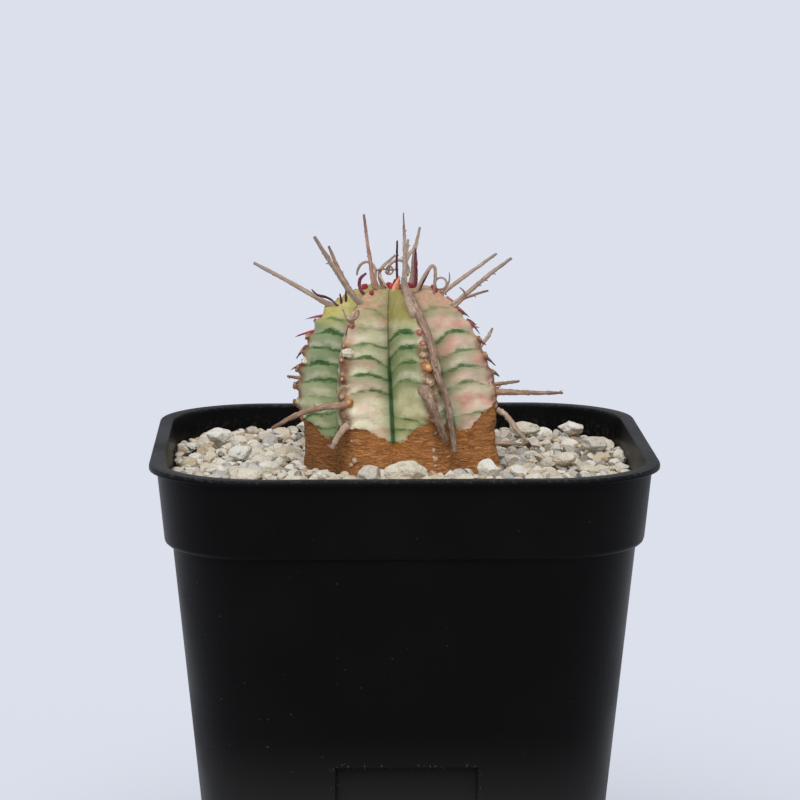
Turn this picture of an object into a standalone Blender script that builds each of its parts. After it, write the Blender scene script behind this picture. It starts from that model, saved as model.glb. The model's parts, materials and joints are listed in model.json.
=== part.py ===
"""Ribbed euphorbia in a square nursery pot, as separate pieces.

Metres, +Z up. The origin is the centre of the pot's underside, the front looks towards -Y.
The pot stands on its foot ring, holds the potting mix and a top dressing of gravel, and the
stem stands rooted in both. Dried flower stalks sit on the crests of the ribs.
"""

import math
import random

import bmesh
import bpy
from mathutils import Vector, noise

# ---------------------------------------------------------------------------------------
# Pot
POT_HEIGHT = 0.080
RIM_WIDTH = 0.070
RIM_CORNER_RADIUS = 0.0156
LIP_HEIGHT = 0.0008
LIP_OVERHANG = 0.00095
COLLAR_HEIGHT = 0.0113
COLLAR_STEP = 0.00105
COLLAR_DRAFT = math.radians(5.6)
BODY_DRAFT = math.radians(5.4)
WALL = 0.00095
FLOOR_THICKNESS = 0.0012
FOOT_HEIGHT = 0.0030
FOOT_WIDTH = 0.0024
PANEL_WIDTH = 0.0195
PANEL_TOP_BELOW_RIM = 0.0405
PANEL_FOOT = 0.0070
PANEL_DEPTH = 0.0010
DRAIN_DIAMETER = 0.0100
SIDE_DRAIN_DIAMETER = 0.0040
SIDE_DRAIN_OFFSET = 0.0140
NOTCH_WIDTH = 0.0060
NOTCH_HEIGHT = 0.0018
CORNER_SEGMENTS = 6

# Filling
CLEARANCE = 0.0003
GRAVEL_BELOW_RIM = 0.0038
GRAVEL_BUMP = 0.00030
GRAVEL_BUMP_SIZE = 0.0035
GRAVEL_CELLS = 20

# Stem
STEM_RADIUS = 0.0146
STEM_HEIGHT = 0.02645
WIDEST_LEVEL = 0.357
DOME_POWER = 1.7
DOME_SHARPNESS = 0.42
WAIST = 0.03
APEX_DIP = 0.0012
APEX_DIP_RADIUS = 0.0035
STEM_SHIFT = 0.00055
STEM_LEAN = 0.065
RIB_FOOT_HEADINGS = (-84.0, -31.5, 16.5, 68.0, 120.0, 172.0, 225.0)
RIB_TOP_HEADINGS = (-85.0, -39.0, 16.0, 68.0, 119.0, 170.0, 223.0)
FACETS_PER_RIB = 6
CREST_ROUNDING = 1.4
VALLEY_DEPTH_FOOT = 0.20
VALLEY_DEPTH_TOP = 0.42
NECK_RADIUS = 0.0050
NECK_DEPTH = 0.0070
ROOT_LENGTH = 0.0230
ROOT_TIP_RADIUS = 0.0008

# Rib numbers, counted from the one on the left, anticlockwise seen from above
LEFT, FRONT_LEFT, FRONT_RIGHT, RIGHT, BACK_RIGHT, BACK, BACK_LEFT = range(7)

# Colours of the plain materials: (red, green, blue), roughness
FINISHES = {
    "black_plastic": ((0.018, 0.018, 0.020), 0.38),
    "potting_soil": ((0.045, 0.032, 0.024), 0.95),
    "gravel": ((0.66, 0.59, 0.48), 0.85),
    "stem_skin": ((0.45, 0.52, 0.30), 0.55),
    "dry_stalk": ((0.36, 0.26, 0.19), 0.80),
    "red_stalk": ((0.30, 0.07, 0.09), 0.65),
    "perlite": ((0.85, 0.83, 0.78), 0.90),
}


# ---------------------------------------------------------------------------------------
# Scene helpers
def clear_scene():
    for item in list(bpy.data.objects):
        bpy.data.objects.remove(item, do_unlink=True)


def new_collection(name):
    collection = bpy.data.collections.new(name)
    bpy.context.scene.collection.children.link(collection)
    return collection


def material(name):
    """The plain finish of one kind of piece."""
    existing = bpy.data.materials.get(name)
    if existing:
        return existing
    colour, roughness = FINISHES[name]
    made = bpy.data.materials.new(name)
    made.use_nodes = True
    shader = made.node_tree.nodes["Principled BSDF"]
    shader.inputs["Base Color"].default_value = (*colour, 1.0)
    shader.inputs["Roughness"].default_value = roughness
    shader.inputs["Metallic"].default_value = 0.0
    made.diffuse_color = (*colour, 1.0)
    return made


def add_piece(name, mesh, finish, collection):
    mesh.materials.append(material(finish))
    piece = bpy.data.objects.new(name, mesh)
    collection.objects.link(piece)
    return piece


def add_cutter(name, mesh, collection):
    cutter = bpy.data.objects.new(name, mesh)
    cutter.hide_render = True
    cutter.display_type = "WIRE"
    collection.objects.link(cutter)
    return cutter


def mesh_from(name, bm):
    bmesh.ops.recalc_face_normals(bm, faces=bm.faces)
    mesh = bpy.data.meshes.new(name)
    bm.to_mesh(mesh)
    bm.free()
    return mesh


def shade_round(mesh, angle=math.radians(35)):
    mesh.shade_smooth()
    mesh.set_sharp_from_angle(angle=angle)


def combine(piece, other, operation):
    """Join or cut a piece with another solid."""
    modifier = piece.modifiers.new(operation.lower() + "_" + other.name, "BOOLEAN")
    modifier.operation = operation
    modifier.object = other
    modifier.solver = "EXACT"


# ---------------------------------------------------------------------------------------
# Pot geometry
def collar_half(z):
    """Half width of the collar's outside at height z."""
    return RIM_WIDTH / 2 - LIP_OVERHANG - (POT_HEIGHT - z) * math.tan(COLLAR_DRAFT)


def body_half(z):
    """Half width of the body's outside at height z."""
    return RIM_WIDTH / 2 - LIP_OVERHANG - COLLAR_STEP - (POT_HEIGHT - z) * math.tan(BODY_DRAFT)


def rounded_frustum(name, low, half_low, high, half_high, corner_radius, foot_bevel=0.0):
    """A square block whose half width changes from low to high, with round upright edges."""
    bm = bmesh.new()
    bmesh.ops.create_cube(bm, size=2.0)
    for vertex in bm.verts:
        upper = vertex.co.z > 0
        half = half_high if upper else half_low
        vertex.co.x *= half
        vertex.co.y *= half
        vertex.co.z = high if upper else low
    upright = [edge for edge in bm.edges if abs(edge.verts[0].co.z - edge.verts[1].co.z) > 1e-6]
    bmesh.ops.bevel(
        bm,
        geom=upright,
        offset=corner_radius,
        offset_type="OFFSET",
        segments=CORNER_SEGMENTS,
        profile=0.5,
        affect="EDGES",
    )
    if foot_bevel:
        foot = [edge for edge in bm.edges if all(abs(v.co.z - low) < 1e-6 for v in edge.verts)]
        bmesh.ops.bevel(
            bm,
            geom=foot,
            offset=foot_bevel,
            offset_type="OFFSET",
            segments=2,
            profile=0.5,
            affect="EDGES",
        )
    return mesh_from(name, bm)


def panel_blocks(name, half_width, low, high, inner_depth, outer_depth):
    """Four blocks on the pot's faces that slope with its walls.

    The depths are measured inwards from the outside of the body.
    """
    bm = bmesh.new()
    for turn in range(4):
        made = bmesh.ops.create_cube(bm, size=2.0)
        heading = math.radians(90) * turn
        for vertex in made["verts"]:
            z = high if vertex.co.z > 0 else low
            depth = outer_depth if vertex.co.y < 0 else inner_depth
            across = vertex.co.x * half_width
            out = body_half(z) - depth
            vertex.co.x = across * math.cos(heading) + out * math.sin(heading)
            vertex.co.y = across * math.sin(heading) - out * math.cos(heading)
            vertex.co.z = z
    return mesh_from(name, bm)


def cylinders(name, diameter, low, high, centres, segments=24):
    bm = bmesh.new()
    for x, y in centres:
        made = bmesh.ops.create_cone(
            bm,
            cap_ends=True,
            segments=segments,
            radius1=diameter / 2,
            radius2=diameter / 2,
            depth=high - low,
        )
        bmesh.ops.translate(bm, verts=made["verts"], vec=(x, y, (low + high) / 2))
    return mesh_from(name, bm)


def foot_notches(name):
    """Four low openings in the foot ring, one on each side, that let water out."""
    bm = bmesh.new()
    for turn in range(4):
        made = bmesh.ops.create_cube(bm, size=1.0)
        heading = math.radians(90) * turn
        middle = body_half(0.0) - FOOT_WIDTH / 2
        for vertex in made["verts"]:
            across = vertex.co.x * NOTCH_WIDTH
            out = middle - vertex.co.y * FOOT_WIDTH * 3
            vertex.co.x = across * math.cos(heading) + out * math.sin(heading)
            vertex.co.y = across * math.sin(heading) - out * math.cos(heading)
            vertex.co.z = vertex.co.z * 2 * NOTCH_HEIGHT
    return mesh_from(name, bm)


def floor_top():
    return FOOT_HEIGHT + FLOOR_THICKNESS


def ledge_height():
    """Height of the ledge inside the pot where the body widens into the collar."""
    return POT_HEIGHT - COLLAR_HEIGHT + WALL


def panel_top():
    return POT_HEIGHT - PANEL_TOP_BELOW_RIM


def make_pot(parts, cutters):
    overlap = LIP_HEIGHT / 2
    lip_foot = POT_HEIGHT - LIP_HEIGHT
    collar_top = lip_foot + overlap
    collar_foot = POT_HEIGHT - COLLAR_HEIGHT
    body_radius = RIM_CORNER_RADIUS - LIP_OVERHANG - COLLAR_STEP
    collar_radius = RIM_CORNER_RADIUS - LIP_OVERHANG

    mesh = rounded_frustum("pot", 0.0, body_half(0.0), lip_foot, body_half(lip_foot), body_radius)
    pot = add_piece("pot", mesh, "black_plastic", parts)

    collar = rounded_frustum(
        "pot_collar", collar_foot, collar_half(collar_foot), collar_top, collar_half(collar_top),
        collar_radius, foot_bevel=COLLAR_STEP,
    )
    combine(pot, add_cutter("pot_collar", collar, cutters), "UNION")
    lip = rounded_frustum(
        "pot_lip", lip_foot, RIM_WIDTH / 2, POT_HEIGHT, RIM_WIDTH / 2, RIM_CORNER_RADIUS,
    )
    combine(pot, add_cutter("pot_lip", lip, cutters), "UNION")

    above = POT_HEIGHT + 2 * LIP_HEIGHT
    inside_top = ledge_height() + overlap
    cavity = rounded_frustum(
        "pot_cavity", floor_top(), body_half(floor_top()) - WALL,
        inside_top, body_half(inside_top) - WALL, body_radius - WALL,
    )
    combine(pot, add_cutter("pot_cavity", cavity, cutters), "DIFFERENCE")
    mouth = rounded_frustum(
        "pot_mouth", ledge_height(), collar_half(ledge_height()) - WALL,
        above, collar_half(above) - WALL, collar_radius - WALL,
    )
    combine(pot, add_cutter("pot_mouth", mouth, cutters), "DIFFERENCE")

    bosses = panel_blocks(
        "panel_bosses", PANEL_WIDTH / 2 + WALL, PANEL_FOOT - WALL, panel_top() + WALL,
        PANEL_DEPTH + WALL, WALL / 2,
    )
    combine(pot, add_cutter("panel_bosses", bosses, cutters), "UNION")
    recesses = panel_blocks(
        "panel_recesses", PANEL_WIDTH / 2, PANEL_FOOT, panel_top(), PANEL_DEPTH, -PANEL_DEPTH,
    )
    combine(pot, add_cutter("panel_recesses", recesses, cutters), "DIFFERENCE")

    below = -FOOT_HEIGHT
    hollow_low = body_half(below) - FOOT_WIDTH
    hollow_high = body_half(FOOT_HEIGHT) - FOOT_WIDTH
    hollow_radius = body_radius - FOOT_WIDTH
    hollow = rounded_frustum(
        "foot_hollow", below, hollow_low, FOOT_HEIGHT, hollow_high, hollow_radius,
    )
    combine(pot, add_cutter("foot_hollow", hollow, cutters), "DIFFERENCE")

    drain = cylinders("drain_hole", DRAIN_DIAMETER, below, 2 * floor_top(), [(0.0, 0.0)])
    combine(pot, add_cutter("drain_hole", drain, cutters), "DIFFERENCE")
    reach = SIDE_DRAIN_OFFSET / math.sqrt(2)
    corners = [(x, y) for x in (-reach, reach) for y in (-reach, reach)]
    small = cylinders("side_drains", SIDE_DRAIN_DIAMETER, below, 2 * floor_top(), corners, 10)
    combine(pot, add_cutter("side_drains", small, cutters), "DIFFERENCE")
    combine(pot, add_cutter("foot_notches", foot_notches("foot_notches"), cutters), "DIFFERENCE")
    return pot


# ---------------------------------------------------------------------------------------
# Stem geometry. A level is a share of the stem's height: 0 at the gravel, 1 at the top.
def gravel_height():
    return POT_HEIGHT - GRAVEL_BELOW_RIM


def ease(value):
    value = min(max(value, 0.0), 1.0)
    return value * value * (3 - 2 * value)


def outline(level):
    """Radius of the rib crests, and height over the gravel, at one level of the stem."""
    if level >= WIDEST_LEVEL:
        climb = (level - WIDEST_LEVEL) / (1 - WIDEST_LEVEL)
        radius = STEM_RADIUS * max(1 - climb ** DOME_POWER, 0.0) ** DOME_SHARPNESS
        dip = APEX_DIP * math.exp(-((radius / APEX_DIP_RADIUS) ** 2))
        return radius, level * STEM_HEIGHT - dip
    if level >= 0:
        waist = WAIST * math.sin(math.pi * level / WIDEST_LEVEL) ** 2
        return STEM_RADIUS * (1 - waist), level * STEM_HEIGHT
    depth = -level * STEM_HEIGHT
    if depth < NECK_DEPTH:
        bulge = math.sqrt(1 - (depth / NECK_DEPTH) ** 2)
        return NECK_RADIUS + (STEM_RADIUS - NECK_RADIUS) * bulge, -depth
    run = min((depth - NECK_DEPTH) / ROOT_LENGTH, 1.0)
    return NECK_RADIUS + (ROOT_TIP_RADIUS - NECK_RADIUS) * run, -depth


def outline_normal(level):
    """Outward direction of the crest outline, as (radial, vertical)."""
    step = 0.002
    radius_low, height_low = outline(level - step)
    radius_high, height_high = outline(min(level + step, 1.0))
    normal = Vector((height_high - height_low, radius_low - radius_high))
    return normal.normalized()


def valley_depth(level):
    """How deep the grooves between the ribs are, as a share of the crest radius."""
    if level >= 0:
        climb = ease((level - 0.08) / 0.42)
        return VALLEY_DEPTH_FOOT + (VALLEY_DEPTH_TOP - VALLEY_DEPTH_FOOT) * climb
    fade = 1 + level * STEM_HEIGHT / NECK_DEPTH
    return VALLEY_DEPTH_FOOT * max(fade, 0.0)


def rib_heading(rib, level):
    """Heading of a rib's crest, or of a place between two, in radians from the front."""
    count = len(RIB_FOOT_HEADINGS)
    first = math.floor(rib)
    share = rib - first
    climb = min(max(level, 0.0), 1.0)

    def crest(number):
        turns, index = divmod(number, count)
        foot, top = RIB_FOOT_HEADINGS[index], RIB_TOP_HEADINGS[index]
        return foot + (top - foot) * climb + 360.0 * turns

    return math.radians(crest(first) * (1 - share) + crest(first + 1) * share)


def stem_point(rib, level, lift=0.0):
    """A point on the stem: on a crest where rib is whole, in a groove half way between.

    lift moves it out along the crest outline's normal.
    """
    radius, height = outline(level)
    from_crest = abs(rib - round(rib)) * 2
    lobe = 1 - valley_depth(level) * from_crest ** CREST_ROUNDING
    normal = outline_normal(level)
    radius = radius * lobe + normal.x * lift
    height += normal.y * lift
    heading = rib_heading(rib, level)
    centre = STEM_SHIFT - STEM_LEAN * height
    return Vector((
        centre + radius * math.sin(heading),
        -radius * math.cos(heading),
        gravel_height() + height,
    ))


def crest_normal(rib, level):
    return (stem_point(rib, level, 0.001) - stem_point(rib, level)).normalized()


def stem_levels():
    """Levels of the rings of the stem's mesh, from the apex to the root tip."""
    dome_rings = 11
    side_rings = 4
    neck_rings = 4
    dome = [
        WIDEST_LEVEL + (1 - WIDEST_LEVEL) * math.cos(math.radians(90) * ring / dome_rings)
        for ring in range(dome_rings)
    ]
    side = [WIDEST_LEVEL * (1 - ring / side_rings) for ring in range(side_rings)]
    neck = [
        -NECK_DEPTH / STEM_HEIGHT * math.sin(math.radians(90) * ring / neck_rings)
        for ring in range(neck_rings)
    ]
    root_steps = (0.0, 0.6, 0.97, 1.0)
    root = [-(NECK_DEPTH + ROOT_LENGTH * step) / STEM_HEIGHT for step in root_steps]
    return dome + side + neck + root


def stem_mesh(name, lift=0.0):
    """The ribbed body, its corky foot and its taproot, as one closed surface."""
    levels = stem_levels()
    rings = len(levels) - 1
    ribs = len(RIB_FOOT_HEADINGS)
    bm = bmesh.new()
    bmesh.ops.create_uvsphere(
        bm, u_segments=ribs * FACETS_PER_RIB, v_segments=rings, radius=1.0,
    )
    for vertex in bm.verts:
        polar = math.acos(min(max(vertex.co.z, -1.0), 1.0))
        ring = round(polar / math.pi * rings)
        level = levels[ring]
        if ring in (0, rings):
            height = outline(level)[1] + (lift if ring == 0 else -lift)
            centre = STEM_SHIFT - STEM_LEAN * height
            vertex.co = (centre, 0.0, gravel_height() + height)
            continue
        turn = math.atan2(vertex.co.y, vertex.co.x) / (2 * math.pi) % 1.0
        facet = round(turn * ribs * FACETS_PER_RIB)
        vertex.co = stem_point(facet / FACETS_PER_RIB, level, lift)
    mesh = mesh_from(name, bm)
    shade_round(mesh, math.radians(50))
    return mesh


# ---------------------------------------------------------------------------------------
# Filling
def gravel_bump(x, y):
    """Height of the uneven top of the gravel over its mean level."""
    place = Vector((x / GRAVEL_BUMP_SIZE, y / GRAVEL_BUMP_SIZE, 0.37))
    return GRAVEL_BUMP * noise.noise(place)


def make_filling(parts, cutters):
    body_radius = RIM_CORNER_RADIUS - LIP_OVERHANG - COLLAR_STEP - WALL - CLEARANCE
    collar_radius = RIM_CORNER_RADIUS - LIP_OVERHANG - WALL - CLEARANCE
    stem_gap = CLEARANCE + CLEARANCE / 3
    stem_room = add_cutter("stem_room", stem_mesh("stem_room", stem_gap), cutters)

    low = floor_top() + CLEARANCE
    high = ledge_height()
    inset = WALL + CLEARANCE
    soil = rounded_frustum(
        "potting_mix", low, body_half(low) - inset, high, body_half(high) - inset, body_radius,
    )
    soil_piece = add_piece("potting_mix", soil, "potting_soil", parts)
    room = panel_blocks(
        "panel_room", PANEL_WIDTH / 2 + inset, PANEL_FOOT - inset, panel_top() + inset,
        PANEL_DEPTH + inset, 0.0,
    )
    combine(soil_piece, add_cutter("panel_room", room, cutters), "DIFFERENCE")
    combine(soil_piece, stem_room, "DIFFERENCE")

    bed_low = ledge_height() + CLEARANCE
    bed_high = gravel_height() + 3 * GRAVEL_BUMP
    bm = bmesh.new()
    bmesh.ops.create_grid(
        bm, x_segments=GRAVEL_CELLS, y_segments=GRAVEL_CELLS, size=RIM_WIDTH / 2,
    )
    for vertex in bm.verts:
        vertex.co.z = gravel_height() + gravel_bump(vertex.co.x, vertex.co.y)
    lowered = bmesh.ops.extrude_face_region(bm, geom=bm.faces[:])
    for item in lowered["geom"]:
        if isinstance(item, bmesh.types.BMVert):
            item.co.z = bed_low - CLEARANCE
    bed = add_piece("gravel_bed", mesh_from("gravel_bed", bm), "gravel", parts)
    limit = rounded_frustum(
        "gravel_limit", bed_low, collar_half(bed_low) - inset,
        bed_high, collar_half(bed_high) - inset, collar_radius,
    )
    combine(bed, add_cutter("gravel_limit", limit, cutters), "INTERSECT")
    combine(bed, stem_room, "DIFFERENCE")


# Larger stones that lie on the top dressing: name, heading from the front in degrees,
# share of the way from stem to wall, (length, width, height), turn in degrees
PEBBLES = (
    ("pebble_front", -1.0, 0.06, (0.0060, 0.0036, 0.0034), 4.0),
    ("pebble_front_left", -17.0, 0.12, (0.0034, 0.0028, 0.0028), 30.0),
    ("pebble_front_right", 37.0, 0.08, (0.0034, 0.0030, 0.0030), 10.0),
    ("pebble_right", 84.0, 0.42, (0.0042, 0.0032, 0.0020), 60.0),
    ("pebble_right_wall", 108.0, 0.82, (0.0040, 0.0030, 0.0022), 20.0),
    ("pebble_back_right", 141.0, 0.62, (0.0050, 0.0036, 0.0024), -20.0),
    ("pebble_back_corner", 133.0, 0.86, (0.0044, 0.0034, 0.0022), 50.0),
    ("pebble_back", 168.0, 0.50, (0.0046, 0.0030, 0.0020), 15.0),
    ("pebble_back_left", -152.0, 0.66, (0.0048, 0.0034, 0.0024), -35.0),
    ("pebble_left_corner", -124.0, 0.80, (0.0044, 0.0032, 0.0022), 25.0),
    ("pebble_left", -98.0, 0.50, (0.0040, 0.0034, 0.0020), 80.0),
    ("pebble_left_front", -52.0, 0.55, (0.0046, 0.0032, 0.0022), -10.0),
)


def pot_reach(heading):
    """Distance from the middle to the inside of the pot's wall along a heading."""
    half = collar_half(gravel_height()) - WALL - CLEARANCE
    radius = RIM_CORNER_RADIUS - LIP_OVERHANG - WALL
    side, front = abs(math.sin(heading)), abs(math.cos(heading))
    straight = half / max(side, front)
    corner = half - radius
    if straight * min(side, front) <= corner:
        return straight
    along = corner * (side + front)
    return along + math.sqrt(along * along - 2 * corner * corner + radius * radius)


def gravel_top_near(x, y, reach):
    """Highest point of the top dressing within reach of a place."""
    steps = 4
    offsets = [reach * step / steps for step in range(-steps, steps + 1)]
    return gravel_height() + max(gravel_bump(x + dx, y + dy) for dx in offsets for dy in offsets)


def make_pebble(row, seed, parts):
    name, heading_degrees, share, size, turn_degrees = row
    heading = math.radians(heading_degrees)
    reach = max(size) / 2
    near = STEM_RADIUS + reach + 2 * CLEARANCE
    far = pot_reach(heading) - reach - CLEARANCE
    distance = near + (far - near) * share
    x, y = STEM_SHIFT + distance * math.sin(heading), -distance * math.cos(heading)
    dice = random.Random(seed)
    bm = bmesh.new()
    bmesh.ops.create_icosphere(bm, subdivisions=2, radius=0.5)
    turn = math.radians(turn_degrees)
    for vertex in bm.verts:
        vertex.co *= dice.uniform(0.88, 1.0)
        along, across = vertex.co.x * size[0], vertex.co.y * size[1]
        vertex.co.x = along * math.cos(turn) - across * math.sin(turn) + x
        vertex.co.y = along * math.sin(turn) + across * math.cos(turn) + y
        vertex.co.z *= size[2]
    lowest = min(vertex.co.z for vertex in bm.verts)
    rest = gravel_top_near(x, y, reach) + CLEARANCE
    bmesh.ops.translate(bm, verts=bm.verts, vec=(0, 0, rest - lowest))
    mesh = mesh_from(name, bm)
    shade_round(mesh)
    add_piece(name, mesh, "gravel", parts)


# ---------------------------------------------------------------------------------------
# Dried flower stalks
def heading_vector(heading, rise):
    """Unit vector for a heading from the front towards +X, and a rise over level, in degrees."""
    turn, climb = math.radians(heading), math.radians(rise)
    level = math.cos(climb)
    return Vector((level * math.sin(turn), -level * math.cos(turn), math.sin(climb)))


def add_tube(name, points, diameters, finish, parts):
    """A round rod along the points, with the diameter given at each."""
    curve = bpy.data.curves.new(name, "CURVE")
    curve.dimensions = "3D"
    curve.bevel_depth = max(diameters) / 2
    curve.bevel_resolution = 1
    curve.use_fill_caps = True
    spline = curve.splines.new("POLY")
    spline.points.add(len(points) - 1)
    for point, place, diameter in zip(spline.points, points, diameters):
        point.co = (*place, 1.0)
        point.radius = diameter / max(diameters)
    curve.materials.append(material(finish))
    rod = bpy.data.objects.new(name, curve)
    parts.objects.link(rod)


def seat(rib, level, direction, diameter):
    """Where a rod starts so that its end stands just clear of the crest."""
    normal = crest_normal(rib, level)
    slant = math.sqrt(max(1 - normal.dot(direction) ** 2, 0.0))
    return stem_point(rib, level) + normal * (CLEARANCE + diameter / 2 * slant)


# Free stalks: name, rib, level, heading and rise at the foot, heading and rise at the tip,
# length, foot diameter, tip diameter, finish
STALKS = (
    ("stalk_left_long", LEFT, 0.868, (-86, 32), (-86, 27), 0.0121, 0.00080, 0.00050, "dry_stalk"),
    ("stalk_front_left", FRONT_LEFT, 0.905, (-46, 46), (-46, 54), 0.0130, 0.00100, 0.00050,
     "dry_stalk"),
    ("stalk_back_left", BACK_LEFT, 0.895, (-132, 52), (-132, 60), 0.0080, 0.00080, 0.00045,
     "dry_stalk"),
    ("stalk_tall_left", FRONT_LEFT, 0.978, (-90, 83), (-90, 81), 0.0104, 0.00066, 0.00040,
     "red_stalk"),
    ("stalk_tall_centre", FRONT_RIGHT, 0.966, (16, 86), (-90, 89), 0.0109, 0.00080, 0.00030,
     "dry_stalk"),
    ("stalk_slender", FRONT_RIGHT, 0.994, (-60, 84), (60, 88), 0.0066, 0.00040, 0.00030,
     "red_stalk"),
    ("stalk_tall_back", BACK_RIGHT, 0.990, (140, 86), (110, 72), 0.0080, 0.00070, 0.00040,
     "dry_stalk"),
    ("stalk_magenta", RIGHT, 0.988, (60, 88), (-80, 86), 0.0052, 0.00065, 0.00040, "red_stalk"),
    ("stalk_back_right", BACK_RIGHT, 0.905, (112, 34), (112, 30), 0.0099, 0.00066, 0.00045,
     "dry_stalk"),
    ("stalk_right", RIGHT, 0.880, (70, 41), (70, 36), 0.0108, 0.00074, 0.00050, "dry_stalk"),
    ("stalk_right_short", BACK_RIGHT, 0.848, (104, 22), (100, 12), 0.0054, 0.00050, 0.00035,
     "dry_stalk"),
    ("stalk_right_level", RIGHT, 0.428, (75, 0), (75, 2), 0.0093, 0.00100, 0.00044, "dry_stalk"),
    ("stalk_back_right_level", BACK_RIGHT, 0.395, (104, 4), (100, 6), 0.0046, 0.00070, 0.00040,
     "dry_stalk"),
    ("twig_jointed", RIGHT, 0.325, (62, -42), (84, -58), 0.0062, 0.00060, 0.00040, "dry_stalk"),
    ("twig_low_right", RIGHT, 0.150, (70, 2), (84, -10), 0.0058, 0.00045, 0.00035, "red_stalk"),
    ("stalk_left_low", FRONT_LEFT, 0.395, (-70, 0), (-84, -38), 0.0104, 0.00074, 0.00050,
     "dry_stalk"),
    ("stub_left_low", FRONT_LEFT, 0.280, (-58, -46), (-60, -60), 0.0034, 0.00080, 0.00060,
     "dry_stalk"),
    ("stalk_back_left_level", BACK_LEFT, 0.395, (-116, 6), (-108, 4), 0.0062, 0.00070, 0.00045,
     "dry_stalk"),
    ("twig_left_dark", LEFT, 0.914, (-84, 6), (-72, 46), 0.0040, 0.00050, 0.00040, "red_stalk"),
    ("stalk_back_high", BACK, 0.900, (172, 44), (168, 52), 0.0092, 0.00080, 0.00045, "dry_stalk"),
    ("stalk_back_level", BACK, 0.470, (176, 12), (168, 2), 0.0074, 0.00080, 0.00045, "dry_stalk"),
    ("stalk_back_right_side", BACK_RIGHT, 0.600, (150, 24), (172, 12), 0.0062, 0.00070, 0.00040,
     "dry_stalk"),
    ("stalk_back_left_low", BACK_LEFT, 0.240, (-136, -6), (-140, -24), 0.0058, 0.00070, 0.00045,
     "dry_stalk"),
)
STALK_POINTS = 6


def make_stalk(row, parts):
    name, rib, level, start, end, length, foot, tip, finish = row
    direction = heading_vector(*start)
    place = seat(rib, level, direction, foot)
    points, diameters = [], []
    steps = STALK_POINTS - 1
    for step in range(STALK_POINTS):
        share = step / steps
        points.append(place.copy())
        diameters.append(foot + (tip - foot) * share ** 0.8)
        heading = start[0] + (end[0] - start[0]) * share
        rise = start[1] + (end[1] - start[1]) * share
        place += heading_vector(heading, rise) * (length / steps)
    add_tube(name, points, diameters, finish, parts)


# Stalks that lie along a rib: name, stations of (rib, level, lift over the crest),
# diameters at the first and last station
LYING_STALKS = (
    ("stalk_draped", ((2.0, 0.955, 0.0), (2.03, 0.90, 0.0001), (2.06, 0.80, 0.0003),
                      (2.08, 0.68, 0.0004), (2.10, 0.56, 0.0002), (2.17, 0.44, 0.0003),
                      (2.22, 0.33, 0.0004), (2.26, 0.22, 0.0002), (2.25, 0.15, 0.0003)),
     0.00095, 0.00075),
    ("stalk_knobbed", ((1.92, 0.47, 0.0004), (1.97, 0.40, 0.0006), (2.05, 0.31, 0.0006),
                       (2.13, 0.22, 0.0003)), 0.00125, 0.00080),
    ("stub_front", ((1.96, 0.850, 0.0), (1.90, 0.89, 0.0010), (1.87, 0.91, 0.0024),
                    (1.86, 0.92, 0.0038)), 0.00105, 0.00070),
)


def make_lying_stalk(row, parts):
    """A rod that follows the crest, its middle one radius and a clearance above it."""
    name, stations, foot, tip = row
    points, diameters = [], []
    last = len(stations) - 1
    for number, (rib, level, lift) in enumerate(stations):
        diameter = foot + (tip - foot) * number / last
        height = CLEARANCE + diameter / 2 + lift
        points.append(stem_point(rib, level, height))
        diameters.append(diameter)
    add_tube(name, points, diameters, "dry_stalk", parts)


# Curled bract stalks around the growing tip: name, rib, level, heading of the plane that the
# curl lies in, radius, start and end angle of the arc, diameter, finish
CURLS = (
    ("curl_left", BACK_LEFT, 0.955, -75.0, 0.00140, -170.0, 30.0, 0.00045, "dry_stalk"),
    ("curl_red", FRONT_LEFT, 0.960, -60.0, 0.00100, -70.0, 150.0, 0.00045, "red_stalk"),
    ("curl_centre", LEFT, 0.990, 90.0, 0.00180, 60.0, 230.0, 0.00050, "dry_stalk"),
    ("curl_right", RIGHT, 0.948, 80.0, 0.00120, -10.0, 190.0, 0.00045, "dry_stalk"),
    ("curl_back", BACK, 0.965, 100.0, 0.00150, -20.0, 200.0, 0.00045, "dry_stalk"),
    ("ring_right", RIGHT, 0.918, 0.0, 0.00085, -80.0, 200.0, 0.00040, "dry_stalk"),
)
CURL_POINTS = 9


def make_curl(row, parts):
    """An arc in an upright plane whose lowest point stands on the crest."""
    name, rib, level, heading, radius, first, last, diameter, finish = row
    across = heading_vector(heading, 0.0)
    lift = CLEARANCE + diameter / 2
    middle = stem_point(rib, level, lift) + Vector((0, 0, radius))
    points = []
    for step in range(CURL_POINTS):
        angle = math.radians(first + (last - first) * step / (CURL_POINTS - 1))
        points.append(middle + across * radius * math.cos(angle)
                      + Vector((0, 0, radius * math.sin(angle))))
    add_tube(name, points, [diameter] * CURL_POINTS, finish, parts)


CRUMB_RIB = 1.08
CRUMB_LEVEL = 0.655
CRUMB_DIAMETER = 0.0013


def make_crumb(parts):
    """A crumb of perlite caught on the front left rib."""
    bm = bmesh.new()
    bmesh.ops.create_icosphere(bm, subdivisions=1, radius=CRUMB_DIAMETER / 2)
    lift = CRUMB_DIAMETER / 2 + CLEARANCE
    bmesh.ops.translate(bm, verts=bm.verts, vec=stem_point(CRUMB_RIB, CRUMB_LEVEL, lift))
    add_piece("perlite_crumb", mesh_from("perlite_crumb", bm), "perlite", parts)


# ---------------------------------------------------------------------------------------
def build():
    clear_scene()
    parts = new_collection("potted_euphorbia")
    cutters = new_collection("cutters")
    pot = make_pot(parts, cutters)
    shade_round(pot.data)
    make_filling(parts, cutters)
    add_piece("stem", stem_mesh("stem"), "stem_skin", parts)
    for seed, row in enumerate(PEBBLES):
        make_pebble(row, seed, parts)
    for row in STALKS:
        make_stalk(row, parts)
    for row in LYING_STALKS:
        make_lying_stalk(row, parts)
    for row in CURLS:
        make_curl(row, parts)
    make_crumb(parts)


build()
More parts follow.
